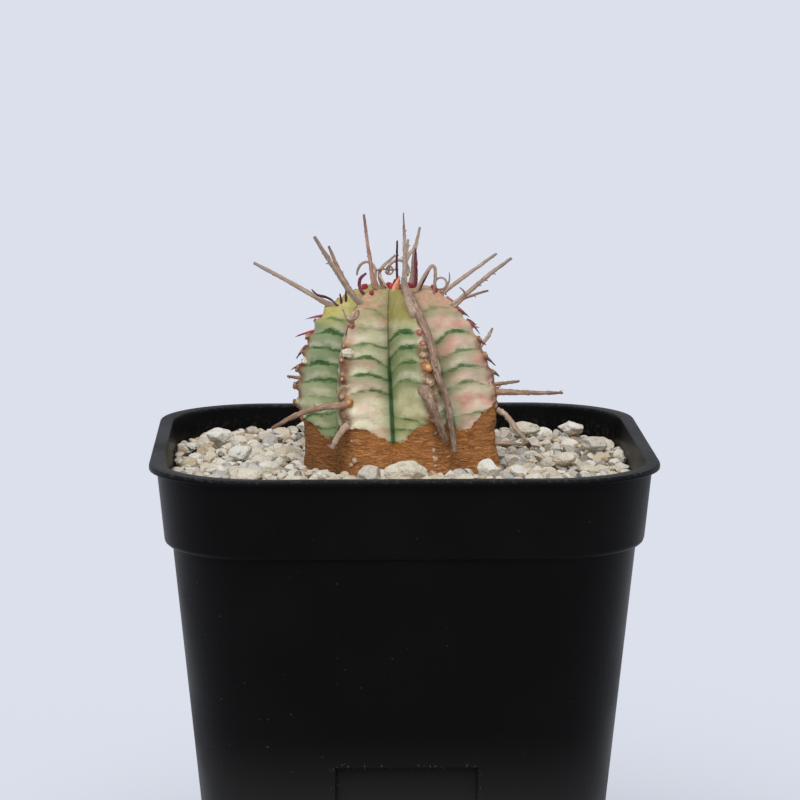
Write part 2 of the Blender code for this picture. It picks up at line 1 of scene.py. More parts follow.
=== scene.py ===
import json
import math
import random

import bmesh
import bpy
import numpy as np
from mathutils import Matrix, Vector, noise


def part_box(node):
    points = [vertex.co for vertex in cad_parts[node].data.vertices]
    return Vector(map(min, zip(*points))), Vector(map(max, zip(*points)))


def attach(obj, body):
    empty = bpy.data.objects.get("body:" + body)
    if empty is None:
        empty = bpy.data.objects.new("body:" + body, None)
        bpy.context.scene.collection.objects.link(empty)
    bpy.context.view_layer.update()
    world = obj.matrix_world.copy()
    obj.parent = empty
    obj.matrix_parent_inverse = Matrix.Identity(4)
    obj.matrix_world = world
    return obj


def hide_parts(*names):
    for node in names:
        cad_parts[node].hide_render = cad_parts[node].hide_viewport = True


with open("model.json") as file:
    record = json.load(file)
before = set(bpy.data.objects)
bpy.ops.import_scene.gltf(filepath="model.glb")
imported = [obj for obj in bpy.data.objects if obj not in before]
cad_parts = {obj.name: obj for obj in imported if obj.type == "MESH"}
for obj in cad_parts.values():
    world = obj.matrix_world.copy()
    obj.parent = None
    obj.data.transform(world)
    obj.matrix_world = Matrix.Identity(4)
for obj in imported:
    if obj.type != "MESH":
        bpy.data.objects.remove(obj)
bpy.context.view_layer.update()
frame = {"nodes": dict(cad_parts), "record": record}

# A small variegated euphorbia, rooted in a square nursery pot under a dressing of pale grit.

# ---- Studio ---------------------------------------------------------------------------
# A pale floor that runs out far behind the pot, an even sky of soft light and one broad lamp
# high over the left shoulder. The camera looks slightly down at the rim from the front.
mm = 0.001
floor_size = 40.0
floor_colour = (0.735, 0.755, 0.815, 1.0)
sky_colour = (0.80, 0.83, 0.90, 1.0)
sky_strength = 0.55
lamp_strength = 2.15
lamp_spread = math.radians(50)
lamp_angles = (math.radians(36), math.radians(-16), math.radians(10))
eye = Vector((-13.5, -487.4, 158.6)) * mm
aim = Vector((-0.1, 0.9, 85.5)) * mm
lens = 156.0


def clear_selection():
    bpy.ops.object.select_all(action="DESELECT")


def finish_of(name, colour, roughness):
    """A new material with its node tree and its shader."""
    made = bpy.data.materials.new(name)
    made.use_nodes = True
    shader = made.node_tree.nodes["Principled BSDF"]
    shader.inputs["Base Color"].default_value = colour
    shader.inputs["Roughness"].default_value = roughness
    return made, made.node_tree, shader


clear_selection()
bpy.ops.mesh.primitive_plane_add(size=floor_size, location=(0, 0, 0))
floor = bpy.context.object
floor.name = "floor"
floor_finish, _, floor_shader = finish_of("pale_floor", floor_colour, 0.9)
floor_shader.inputs["Specular IOR Level"].default_value = 0.0
floor.data.materials.append(floor_finish)

world = bpy.data.worlds.new("studio")
bpy.context.scene.world = world
world.use_nodes = True
world.node_tree.nodes["Background"].inputs["Color"].default_value = sky_colour
world.node_tree.nodes["Background"].inputs["Strength"].default_value = sky_strength

bpy.ops.object.light_add(type="SUN", location=(0, 0, 1), rotation=lamp_angles)
lamp = bpy.context.object
lamp.data.energy = lamp_strength
lamp.data.angle = lamp_spread

camera_data = bpy.data.cameras.new("camera")
camera_data.lens = lens
camera_data.sensor_width = 36.0
camera_data.clip_end = 100.0
camera = bpy.data.objects.new("camera", camera_data)
camera.location = eye
camera.rotation_euler = (aim - eye).to_track_quat("-Z", "Y").to_euler()
bpy.context.scene.collection.objects.link(camera)
bpy.context.scene.camera = camera
bpy.context.scene.view_settings.view_transform = "Standard"


# ---- Pot ------------------------------------------------------------------------------
# The nursery pot is one moulding of thin black polypropylene: a flat lip round the mouth, a
# collar, four tapered walls with round corners and a shallow recessed panel, and a raised
# floor with drain holes inside a foot ring.
rim_half, _, rim_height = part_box("pot")[1]
wall = 0.95 * mm
lip_height = 0.8 * mm
lip_overhang = 0.95 * mm
collar_height = 11.3 * mm
collar_step = 1.05 * mm
collar_slope = math.tan(math.radians(5.6))
body_slope = math.tan(math.radians(5.4))
corner_radius = 14.2 * mm
corner_segments = 14
foot_height = 3.0 * mm
floor_thickness = 1.2 * mm
foot_width = 2.4 * mm
panel_half = 9.75 * mm
panel_low = 7.0 * mm
panel_high = rim_height - 40.5 * mm
panel_depth = 1.0 * mm
drain_diameter = 10.0 * mm
side_drain_diameter = 4.0 * mm
side_drain_reach = 14.0 * mm / math.sqrt(2)
notch_width = 6.0 * mm
notch_height = 1.8 * mm


def collar_half(z):
    return rim_half - lip_overhang - (rim_height - z) * collar_slope


def body_half(z):
    return rim_half - lip_overhang - collar_step - (rim_height - z) * body_slope


def activate(piece):
    """Makes one piece the only one selected."""
    clear_selection()
    piece.select_set(True)
    bpy.context.view_layer.objects.active = piece


def enter_edit(piece):
    """Opens one piece for editing, with none of it selected."""
    activate(piece)
    bpy.ops.object.mode_set(mode="EDIT")
    bpy.ops.mesh.select_all(action="DESELECT")


def leave_edit():
    bpy.ops.object.mode_set(mode="OBJECT")


def face_outwards():
    """Turns every face of the piece in edit mode outwards."""
    bpy.ops.mesh.select_all(action="SELECT")
    bpy.ops.mesh.normals_make_consistent(inside=False)


def select_faces(piece, wanted):
    """Selects the faces whose middle and normal pass a test."""
    bpy.ops.mesh.select_mode(type="FACE")
    bpy.ops.mesh.select_all(action="DESELECT")
    cage = bmesh.from_edit_mesh(piece.data)
    for face in cage.faces:
        face.select_set(wanted(face.calc_center_median(), face.normal))
    bmesh.update_edit_mesh(piece.data)


def select_edges(piece, wanted):
    """Selects the edges whose two ends pass a test."""
    bpy.ops.mesh.select_mode(type="EDGE")
    bpy.ops.mesh.select_all(action="DESELECT")
    cage = bmesh.from_edit_mesh(piece.data)
    for edge in cage.edges:
        edge.select_set(wanted(edge.verts[0].co, edge.verts[1].co))
    bmesh.update_edit_mesh(piece.data)


def extrude_square(z, half_before, half_after, rise):
    """Extrudes the selected face upwards or in place and brings it to a new half width."""
    bpy.ops.mesh.extrude_region()
    bpy.ops.transform.translate(value=(0, 0, rise))
    scale = half_after / half_before
    bpy.ops.transform.resize(value=(scale, scale, 1), center_override=(0, 0, z + rise))


def apply_modifiers(piece):
    activate(piece)
    for modifier in list(piece.modifiers):
        bpy.ops.object.modifier_apply(modifier=modifier.name)


def settle(piece):
    """Puts the piece's place into its mesh, so that its object sits at the origin."""
    activate(piece)
    bpy.ops.object.transform_apply(location=True, rotation=True, scale=True)


collar_foot = rim_height - collar_height
lip_foot = rim_height - lip_height
ledge = collar_foot + wall
inner_floor = foot_height + floor_thickness

clear_selection()
bpy.ops.mesh.primitive_cube_add(size=2, location=(0, 0, collar_foot / 2))
pot = bpy.context.object
pot.name = "nursery_pot"
pot.scale = (body_half(0), body_half(0), collar_foot / 2)
settle(pot)
enter_edit(pot)
select_faces(pot, lambda middle, normal: normal.z > 0.9)
taper = body_half(collar_foot) / body_half(0)
bpy.ops.transform.resize(value=(taper, taper, 1), center_override=(0, 0, collar_foot))
select_edges(pot, lambda a, b: abs(a.z - b.z) > collar_foot / 2)
bpy.ops.mesh.bevel(offset=corner_radius, segments=corner_segments, profile=0.5, affect="EDGES")

# Up the outside, over the lip and down the inside
select_faces(pot, lambda middle, normal: normal.z > 0.9)
stations = [
    (collar_foot, body_half(collar_foot), collar_foot, collar_half(collar_foot)),
    (collar_foot, collar_half(collar_foot), lip_foot, collar_half(lip_foot)),
    (lip_foot, collar_half(lip_foot), lip_foot, rim_half),
    (lip_foot, rim_half, rim_height, rim_half),
    (rim_height, rim_half, rim_height, collar_half(rim_height) - wall),
    (rim_height, collar_half(rim_height) - wall, ledge, collar_half(ledge) - wall),
    (ledge, collar_half(ledge) - wall, ledge, body_half(ledge) - wall),
    (ledge, body_half(ledge) - wall, inner_floor, body_half(inner_floor) - wall),
]
for z_before, half_before, z_after, half_after in stations:
    extrude_square(z_before, half_before, half_after, z_after - z_before)

# Foot ring under a raised floor
select_faces(pot, lambda middle, normal: normal.z < -0.9 and middle.z < 0.1 * mm)
bpy.ops.mesh.inset(thickness=foot_width, depth=0)
bpy.ops.mesh.extrude_region()
bpy.ops.transform.translate(value=(0, 0, foot_height))


def panel_cut(outside, half, low, high, step):
    """Outlines a panel on each flat face and moves it along its normal."""
    for axis in (Vector((1, 0, 0)), Vector((0, 1, 0))):
        for side in (-half, half):
            def across(middle, normal):
                facing = abs(normal.dot(axis)) < 0.2 and abs(normal.z) < 0.3
                near = abs(middle.dot(axis)) < half * 1.6 or abs(middle.dot(axis)) > rim_half
                outward = normal.x * middle.x + normal.y * middle.y > 0
                on_body = 5 * mm < middle.z < collar_foot - 5 * mm
                return facing and near and on_body and outward == outside
            select_faces(pot, across)
            bpy.ops.mesh.bisect(plane_co=axis * side, plane_no=axis)
    for height in (low, high):
        def tall(middle, normal):
            narrow = min(abs(middle.x), abs(middle.y)) < half
            outward = normal.x * middle.x + normal.y * middle.y > 0
            facing = max(abs(normal.x), abs(normal.y)) > 0.97
            return narrow and facing and outward == outside and 4 * mm < middle.z < collar_foot
        select_faces(pot, tall)
        bpy.ops.mesh.bisect(plane_co=(0, 0, height), plane_no=(0, 0, 1))

    def panel(middle, normal):
        narrow = min(abs(middle.x), abs(middle.y)) < 0.1 * mm
        facing = max(abs(normal.x), abs(normal.y)) > 0.97
        outward = normal.x * middle.x + normal.y * middle.y > 0
        return narrow and facing and outward == outside and low < middle.z < high
    select_faces(pot, panel)
    bpy.ops.mesh.inset(thickness=0.35 * mm, depth=step, use_individual=True)


panel_cut(True, panel_half, panel_low, panel_high, -panel_depth)
panel_cut(False, panel_half + wall, panel_low - wall, panel_high + wall, panel_depth)
leave_edit()

edge_weights = pot.data.attributes.new("bevel_weight_edge", "FLOAT", "EDGE")
soft_edges = {
    (0.0, body_half(0)): 0.35,
    (collar_foot, body_half(collar_foot)): 0.25,
    (collar_foot, collar_half(collar_foot)): 1.0,
    (lip_foot, collar_half(lip_foot)): 0.25,
    (lip_foot, rim_half): 0.25,
    (rim_height, rim_half): 0.30,
    (rim_height, collar_half(rim_height) - wall): 0.30,
}
for edge in pot.data.edges:
    first, second = (pot.data.vertices[number].co for number in edge.vertices)
    if abs(first.z - second.z) > 0.02 * mm:
        continue
    for (z, half), weight in soft_edges.items():
        # How far each end lies from the rounded square of this half width
        gaps = []
        for point in (first, second):
            radius = corner_radius * half / body_half(collar_foot) if z > 1 * mm else corner_radius
            x = max(abs(point.x) - (half - radius), 0)
            y = max(abs(point.y) - (half - radius), 0)
            gaps.append(abs(math.hypot(x, y) - radius))
        if abs(first.z - z) < 0.02 * mm and max(gaps) < 0.12 * mm:
            edge_weights.data[edge.index].value = weight
soften = pot.modifiers.new("soften", "BEVEL")
soften.limit_method = "WEIGHT"
soften.width = 0.95 * mm
soften.segments = 3

# Drain holes and the notches in the foot ring
clear_selection()
drills = []
drain_places = [(0, 0, drain_diameter)]
for x in (-side_drain_reach, side_drain_reach):
    for y in (-side_drain_reach, side_drain_reach):
        drain_places.append((x, y, side_drain_diameter))
for x, y, diameter in drain_places:
    bpy.ops.mesh.primitive_cylinder_add(
        vertices=32, radius=diameter / 2, depth=4 * inner_floor, location=(x, y, 0))
    drills.append(bpy.context.object)
for turn in range(2):
    bpy.ops.mesh.primitive_cube_add(size=1, location=(0, 0, 0))
    drills.append(bpy.context.object)
    long_side, short_side = 3 * rim_half, notch_width
    drills[-1].scale = (long_side, short_side, 2 * notch_height) if turn else (
        short_side, long_side, 2 * notch_height)
for drill in drills:
    settle(drill)
    cut = pot.modifiers.new("cut", "BOOLEAN")
    cut.operation = "DIFFERENCE"
    cut.object = drill
apply_modifiers(pot)
for drill in drills:
    bpy.data.objects.remove(drill, do_unlink=True)
activate(pot)
bpy.ops.object.shade_smooth_by_angle(angle=math.radians(32))


def add_node(tree, kind, inputs=None, **settings):
    """Adds a shader node, sets its properties and fills or links its inputs."""
    made = tree.nodes.new(kind)
    for name, value in settings.items():
        setattr(made, name, value)
    for key, value in (inputs or {}).items():
        if isinstance(value, bpy.types.NodeSocket):
            tree.links.new(value, made.inputs[key])
        else:
            made.inputs[key].default_value = value
    return made


def maths(tree, operation, first, second=0.0):
    return add_node(tree, "ShaderNodeMath", {0: first, 1: second}, operation=operation).outputs[0]


def times(tree, first, second):
    return maths(tree, "MULTIPLY", first, second)


def blend(tree, share, first, second, mode="MIX"):
    """Mixes two colours by a share from 0 to 1."""
    made = add_node(tree, "ShaderNodeMix", data_type="RGBA", blend_type=mode)
    for socket, value in ((made.inputs[0], share), (made.inputs[6], first), (made.inputs[7], second)):
        if isinstance(value, bpy.types.NodeSocket):
            tree.links.new(value, socket)
        else:
            socket.default_value = value
    return made.outputs[2]


def drawn_noise(tree, stretch, **settings):
    """Noise on the piece's own coordinates, drawn out along one of its axes."""
    place = tree.nodes.new("ShaderNodeTexCoord")
    drawn = add_node(tree, "ShaderNodeMapping", {
        "Vector": place.outputs["Object"], "Scale": stretch})
    return add_node(tree, "ShaderNodeTexNoise", {"Vector": drawn.outputs[0], **settings}).outputs[0]


def coat(tree, colour, mask, strength, paint):
    """Lays paint over a colour where a mask lets it through."""
    return blend(tree, times(tree, mask, strength), colour, paint)


def ramp_between(tree, value, low, high):
    """0 below low, 1 above high and smooth between."""
    if low > high:
        return maths(tree, "SUBTRACT", 1.0, ramp_between(tree, value, high, low))
    made = add_node(tree, "ShaderNodeMapRange", {"Value": value, "From Min": low, "From Max": high})
    made.interpolation_type = "SMOOTHSTEP"
    return made.outputs[0]


def new_group(name, numbers, output):
    """An empty node group with its number inputs, its one output and the piece's coordinates."""
    group = bpy.data.node_groups.new(name, "ShaderNodeTree")
    for title, number in numbers.items():
        socket = group.interface.new_socket(title, in_out="INPUT", socket_type="NodeSocketFloat")
        socket.default_value = number
    group.interface.new_socket(output, in_out="OUTPUT", socket_type="NodeSocketFloat")
    source = group.nodes.new("NodeGroupInput")
    place = group.nodes.new("ShaderNodeTexCoord")
    return group, source.outputs, place.outputs["Object"]


def mottle_group():
    """Cloudy patches of any size: a value from 0 to 1 that changes over the surface."""
    group, given, place = new_group(
        "mottle", {"Scale": 500.0, "Detail": 3.0, "Low": 0.35, "High": 0.65}, "Value")
    cloud = add_node(group, "ShaderNodeTexNoise", {
        "Vector": place, "Scale": given["Scale"], "Detail": given["Detail"], "Roughness": 0.55})
    spread = add_node(group, "ShaderNodeMapRange", {
        "Value": cloud.outputs[0], "From Min": given["Low"], "From Max": given["High"]},
        interpolation_type="SMOOTHSTEP")
    result = group.nodes.new("NodeGroupOutput")
    group.links.new(spread.outputs[0], result.inputs["Value"])
    return group


def speck_group():
    """Small scattered grains, such as dust or pores: a mask from 0 to 1."""
    group, given, place = new_group("specks", {"Scale": 900.0, "Size": 0.15, "Share": 0.3}, "Mask")
    cells = add_node(group, "ShaderNodeTexVoronoi", {"Vector": place, "Scale": given["Scale"]})
    grain = maths(group, "GREATER_THAN", given["Size"], cells.outputs["Distance"])
    pick = add_node(group, "ShaderNodeSeparateColor", {"Color": cells.outputs["Color"]})
    kept = maths(group, "GREATER_THAN", given["Share"], pick.outputs[0])
    result = group.nodes.new("NodeGroupOutput")
    group.links.new(times(group, grain, kept), result.inputs["Mask"])
    return group


mottle = mottle_group()
specks = speck_group()


def use_group(tree, group, **inputs):
    """Places a node group with its own values and returns its only output."""
    made = tree.nodes.new("ShaderNodeGroup")
    made.node_tree = group
    for name, value in inputs.items():
        made.inputs[name].default_value = value
    return made.outputs[0]


def paint_all(tree, shader, colour):
    tree.links.new(colour, shader.inputs["Base Color"])


def bump(tree, shader, height, strength, distance):
    made = add_node(tree, "ShaderNodeBump", {
        "Strength": strength, "Distance": distance, "Height": height})
    tree.links.new(made.outputs[0], shader.inputs["Normal"])


def attribute(tree, name, output="Fac"):
    return add_node(tree, "ShaderNodeAttribute", attribute_name=name).outputs[output]


def dress(piece, finish):
    """Gives a piece one finish and smooth shading."""
    piece.data.materials.clear()
    piece.data.materials.append(finish)
    piece.data.shade_smooth()


def set_value(piece, name, numbers):
    """Stores a number with each point of a piece, for its finish to read."""
    made = piece.data.attributes.new(name, "FLOAT", "POINT")
    made.data.foreach_set("value", numbers)


set_value(pot, "inside", [float(vertex.normal.x * vertex.co.x + vertex.normal.y * vertex.co.y < 0)
                          for vertex in pot.data.vertices])
plastic, tree, shader = finish_of("black_plastic", (0.01, 0.01, 0.011, 1), 0.42)
clouds = use_group(tree, mottle, Scale=60.0, Detail=4.0, Low=0.4, High=0.7)
fine = use_group(tree, mottle, Scale=2200.0, Detail=2.0, Low=0.3, High=0.7)
dust = times(tree, use_group(tree, specks, Scale=950.0, Size=0.12, Share=0.16), clouds)
film = blend(tree, times(tree, clouds, 0.30), (0.0028, 0.0026, 0.0026, 1),
             (0.0072, 0.0069, 0.0069, 1))
place = tree.nodes.new("ShaderNodeTexCoord")
apart = add_node(tree, "ShaderNodeSeparateXYZ", {"Vector": place.outputs["Object"]})
worn_lip = add_node(tree, "ShaderNodeMapRange", {
    "Value": apart.outputs["Z"], "From Min": rim_height - 0.5 * mm, "From Max": rim_height}).outputs[0]
colour = coat(tree, film, worn_lip, 0.35, (0.032, 0.032, 0.034, 1))
# Grit has scuffed the top of the lip, and its dust clings to the wall inside
scuffs = use_group(tree, mottle, Scale=1700.0, Detail=5.0, Low=0.50, High=0.68)
scuffed_lip = times(tree, worn_lip, scuffs)
colour = coat(tree, colour, scuffed_lip, 0.36, (0.105, 0.105, 0.112, 1))
near_grit = ramp_between(tree, apart.outputs["Z"], rim_height - 0.9 * mm, rim_height - 3.4 * mm)
inner_dust = times(tree, times(tree, near_grit, scuffs), attribute(tree, "inside"))
colour = coat(tree, colour, inner_dust, 0.30, (0.060, 0.057, 0.050, 1))
# Dust has settled along the rim of each recessed panel
across = maths(tree, "MINIMUM", maths(tree, "ABSOLUTE", apart.outputs["X"]),
               maths(tree, "ABSOLUTE", apart.outputs["Y"]))
near_side = maths(tree, "ABSOLUTE", maths(tree, "SUBTRACT", across, panel_half))
near_top = maths(tree, "ABSOLUTE", maths(tree, "SUBTRACT", apart.outputs["Z"], panel_high))
beside = times(tree, maths(tree, "LESS_THAN", near_side, 0.6 * mm),
               maths(tree, "LESS_THAN", apart.outputs["Z"], panel_high + 0.5 * mm))
above = times(tree, maths(tree, "LESS_THAN", near_top, 0.6 * mm),
              maths(tree, "LESS_THAN", across, panel_half + 0.5 * mm))
settled = use_group(tree, specks, Scale=2600.0, Size=0.34, Share=0.30)
rim_dust = times(tree, maths(tree, "MAXIMUM", beside, above), settled)
colour = coat(tree, colour, rim_dust, 0.55, (0.080, 0.066, 0.048, 1))
# The lower part of the pot is painted lighter, a painted reflection of the pale floor
painted_floor_reflection = times(tree, ramp_between(tree, apart.outputs["Z"], 45 * mm, 28 * mm), 0.60)
colour = blend(tree, painted_floor_reflection, colour, (0.034, 0.033, 0.032, 1))
dusty = coat(tree, colour, dust, 0.5, (0.09, 0.088, 0.085, 1))
paint_all(tree, shader, dusty)
rough = maths(tree, "ADD", times(tree, clouds, 0.10), 0.36)
tree.links.new(rough, shader.inputs["Roughness"])
shader.inputs["Specular IOR Level"].default_value = 0.045
bump(tree, shader, fine, 0.12, 0.00004)
pot.data.materials.clear()
pot.data.materials.append(plastic)
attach(pot, "root")
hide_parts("pot")

# ---- Potting mix ----------------------------------------------------------------------
# Dark peat and bark fills the pot under the grit. Only the drain holes let it be seen, so its
# plain solid stays and gets a crumbly finish.
soil, tree, shader = finish_of("potting_soil", (0.03, 0.02, 0.014, 1), 0.95)
crumbs = use_group(tree, mottle, Scale=700.0, Detail=5.0, Low=0.3, High=0.7)
paint_all(tree, shader, blend(tree, crumbs, (0.015, 0.010, 0.007, 1), (0.085, 0.055, 0.035, 1)))
bump(tree, shader, crumbs, 0.8, 0.0006)
potting_mix = frame["nodes"]["potting_mix"]
potting_mix.data.materials.clear()
potting_mix.data.materials.append(soil)

# ---- Stem -----------------------------------------------------------------------------
# The plant's body grew as one piece: seven upright ribs with a row of swellings along each
# crest, thin green growth bands across cream flanks, and a foot that has turned to cork.
gravel_height = rim_height - 3.8 * mm
stem_radius = 14.6 * mm
stem_height = 26.45 * mm
widest_level = 0.357
dome_power = 1.7
dome_sharpness = 0.42
waist = 0.03
apex_dip = 1.2 * mm
apex_dip_radius = 3.5 * mm
stem_shift = 0.55 * mm
stem_lean = 0.065
rib_foot_headings = (-84.0, -31.5, 16.5, 68.0, 120.0, 172.0, 225.0)
rib_top_headings = (-85.0, -39.0, 16.0, 68.0, 119.0, 170.0, 223.0)
rib_count = len(rib_foot_headings)
valley_depth_foot = 0.20
valley_depth_top = 0.42
neck_radius = 5.0 * mm
neck_depth = 7.0 * mm
root_length = 23.0 * mm
root_tip_radius = 0.8 * mm
fold_depth = 0.22 * mm
fold_width = 0.55 * mm
knob_height = 0.66 * mm
knob_half_length = 0.52 * mm
knob_half_width = 0.19
cork_sink = 0.26 * mm
cork_wrinkle = 0.10 * mm
cork_lump = 0.22 * mm
skin_wave = 0.13 * mm
crown_dip = 0.20 * mm
scab_height = 0.32 * mm
facets_per_rib = 44
dome_rings = 150
side_rings = 110
neck_rings = 14
root_levels = 9
# Levels at which the swellings of a rib meet, from the foot to the tip
row_levels = (0.04, 0.12, 0.20, 0.28, 0.365, 0.455, 0.545, 0.635, 0.715, 0.795, 0.865, 0.92, 0.96)

# Growth bands on each flank, left of a crest and then right of it. Each band runs from the
# groove over its highest place to the crest: three levels, width in mm and strength.
plain_bands = (
    (0.83, 0.87, 0.865, 0.25, 0.4), (0.76, 0.80, 0.795, 0.30, 0.7), (0.68, 0.72, 0.715, 0.38, 0.9),
    (0.60, 0.645, 0.635, 0.40, 0.9), (0.51, 0.555, 0.545, 0.40, 0.9), (0.43, 0.465, 0.455, 0.35, 0.8),
    (0.35, 0.375, 0.365, 0.25, 0.6), (0.27, 0.29, 0.28, 0.25, 0.7),
)
flank_bands = {
    (0, 1): (
        (0.80, 0.81, 0.805, 0.25, 0.6), (0.71, 0.745, 0.72, 0.45, 0.9),
        (0.635, 0.66, 0.645, 0.46, 1.0), (0.56, 0.58, 0.55, 0.54, 1.0),
        (0.48, 0.495, 0.455, 0.50, 1.0), (0.39, 0.402, 0.39, 0.16, 0.5),
        (0.32, 0.305, 0.235, 0.38, 0.95), (0.24, 0.235, 0.17, 0.34, 0.9)),
    (1, 1): (
        (0.83, 0.88, 0.885, 0.26, 0.35), (0.775, 0.785, 0.80, 0.42, 0.32),
        (0.675, 0.71, 0.70, 0.30, 0.75), (0.58, 0.64, 0.63, 0.34, 0.85),
        (0.51, 0.55, 0.54, 0.30, 0.85), (0.44, 0.475, 0.445, 0.36, 0.9)),
    (2, -1): (
        (0.71, 0.775, 0.77, 0.58, 1.0), (0.62, 0.695, 0.70, 0.50, 0.95),
        (0.545, 0.62, 0.625, 0.32, 0.8), (0.46, 0.53, 0.515, 0.22, 0.7),
        (0.325, 0.328, 0.285, 0.22, 0.8), (0.26, 0.27, 0.262, 0.18, 0.75)),
    (3, -1): (
        (0.86, 0.878, 0.88, 0.26, 0.4), (0.69, 0.757, 0.74, 0.34, 0.85),
        (0.61, 0.662, 0.66, 0.33, 0.75), (0.53, 0.577, 0.57, 0.33, 0.75),
        (0.445, 0.495, 0.465, 0.24, 0.7), (0.31, 0.333, 0.31, 0.20, 0.65)),
}
# Upper edge of the cork at the crest, at a third, at two thirds and at the groove
plain_cork = (0.29, 0.265, 0.215, 0.20)
flank_cork = {
    (0, 1): (0.30, 0.25, 0.18, 0.19), (1, -1): (0.275, 0.27, 0.22, 0.19),
    (1, 1): (0.275, 0.27, 0.22, 0.18), (2, -1): (0.31, 0.285, 0.205, 0.185),
    (2, 1): (0.31, 0.29, 0.25, 0.245), (3, -1): (0.375, 0.335, 0.24, 0.245),
    (3, 1): (0.375, 0.34, 0.27, 0.23), (4, -1): (0.33, 0.28, 0.24, 0.23),
}
# Skin colours low on the flank, half way up and at the top, then how blotched with pink it is
plain_tints = ((0.40, 0.40, 0.19), (0.31, 0.33, 0.17), (0.33, 0.29, 0.12), 0.35)
flank_tints = {
    (0, -1): ((0.34, 0.35, 0.18), (0.25, 0.28, 0.16), (0.45, 0.37, 0.12), 0.0),
    (0, 1): ((0.40, 0.40, 0.22), (0.235, 0.27, 0.155), (0.56, 0.48, 0.13), 0.0),
    (1, -1): ((0.40, 0.41, 0.20), (0.29, 0.31, 0.17), (0.42, 0.35, 0.14), 0.2),
    (1, 1): ((0.88, 0.78, 0.54), (0.56, 0.52, 0.32), (0.44, 0.35, 0.18), 0.8),
    (2, -1): ((0.52, 0.49, 0.22), (0.26, 0.28, 0.13), (0.30, 0.26, 0.055), 0.05),
    (2, 1): ((0.50, 0.47, 0.26), (0.38, 0.37, 0.21), (0.42, 0.31, 0.16), 0.5),
    (3, -1): ((0.80, 0.64, 0.47), (0.52, 0.43, 0.31), (0.40, 0.33, 0.20), 1.25),
    (3, 1): ((0.70, 0.54, 0.38), (0.50, 0.40, 0.28), (0.46, 0.33, 0.21), 1.0),
    (4, -1): ((0.62, 0.51, 0.34), (0.46, 0.40, 0.26), (0.42, 0.33, 0.18), 0.8),
    (4, 1): ((0.54, 0.48, 0.28), (0.39, 0.37, 0.22), (0.38, 0.31, 0.14), 0.5),
    (6, 1): ((0.38, 0.39, 0.19), (0.28, 0.30, 0.16), (0.40, 0.35, 0.12), 0.1),
}


def ease(value):
    value = min(max(value, 0.0), 1.0)
    return value * value * (3 - 2 * value)


def outline(level):
    """Crest radius and height over the gravel; level 0 is at the gravel and 1 at the top."""
    if level >= widest_level:
        climb = (level - widest_level) / (1 - widest_level)
        radius = stem_radius * max(1 - climb ** dome_power, 0.0) ** dome_sharpness
        return radius, level * stem_height - apex_dip * math.exp(-(radius / apex_dip_radius) ** 2)
    if level >= 0:
        pinch = waist * math.sin(math.pi * level / widest_level) ** 2
        return stem_radius * (1 - pinch), level * stem_height
    depth = -level * stem_height
    if depth < neck_depth:
        bulge = math.sqrt(1 - (depth / neck_depth) ** 2)
        return neck_radius + (stem_radius - neck_radius) * bulge, -depth
    run = min((depth - neck_depth) / root_length, 1.0)
    return neck_radius + (root_tip_radius - neck_radius) * run, -depth


def outline_normal(level):
    step = 0.002
    radius_low, height_low = outline(level - step)
    radius_high, height_high = outline(min(level + step, 1.0))
    return Vector((height_high - height_low, radius_low - radius_high)).normalized()


def valley_depth(level):
    if level >= 0:
        climb = ease((level - 0.08) / 0.42)
        return valley_depth_foot + (valley_depth_top - valley_depth_foot) * climb
    return valley_depth_foot * max(1 + level * stem_height / neck_depth, 0.0)


def rib_heading(rib, level):
    """Heading of a crest, or of a place between two, in radians from the front."""
    first = math.floor(rib)
    share = rib - first
    climb = min(max(level, 0.0), 1.0)
    ends = []
    for number in (first, first + 1):
        turns, index = divmod(number, rib_count)
        foot, top = rib_foot_headings[index], rib_top_headings[index]
        ends.append(foot + (top - foot) * climb + 360.0 * turns)
    return math.radians(ends[0] * (1 - share) + ends[1] * share)


def wander(x, y, z, size):
    """Smooth noise from -1 to 1 with features of about the given size."""
    return noise.noise(Vector((x, y, z)) / size)


def flank_of(rib):
    """The crest that a place belongs to, its side and how far it is from crest to groove."""
    crest = round(rib)
    return crest % rib_count, -1 if rib < crest else 1, abs(rib - crest) * 2


def row_shift(crest):
    """Front ribs grew in step; the others are a little out of step."""
    return (0.0, 0.0, 0.0, 0.0, 0.012, -0.015, 0.01)[crest]


def cork_edge(rib, level):
    """How far a place lies over the wavy upper edge of the cork, in metres."""
    crest, side, flank = flank_of(rib)
    edge = float(np.interp(flank, (0.0, 0.33, 0.67, 1.0), flank_cork.get((crest, side), plain_cork)))
    ragged = 0.34 * mm * wander(rib * 9.0, level * 9.0, 3.1, 1.0) * (1 - flank)
    ragged += 0.20 * mm * wander(rib * 26.0, 0, 7.7, 1.0)
    return (level - edge) * stem_height + ragged


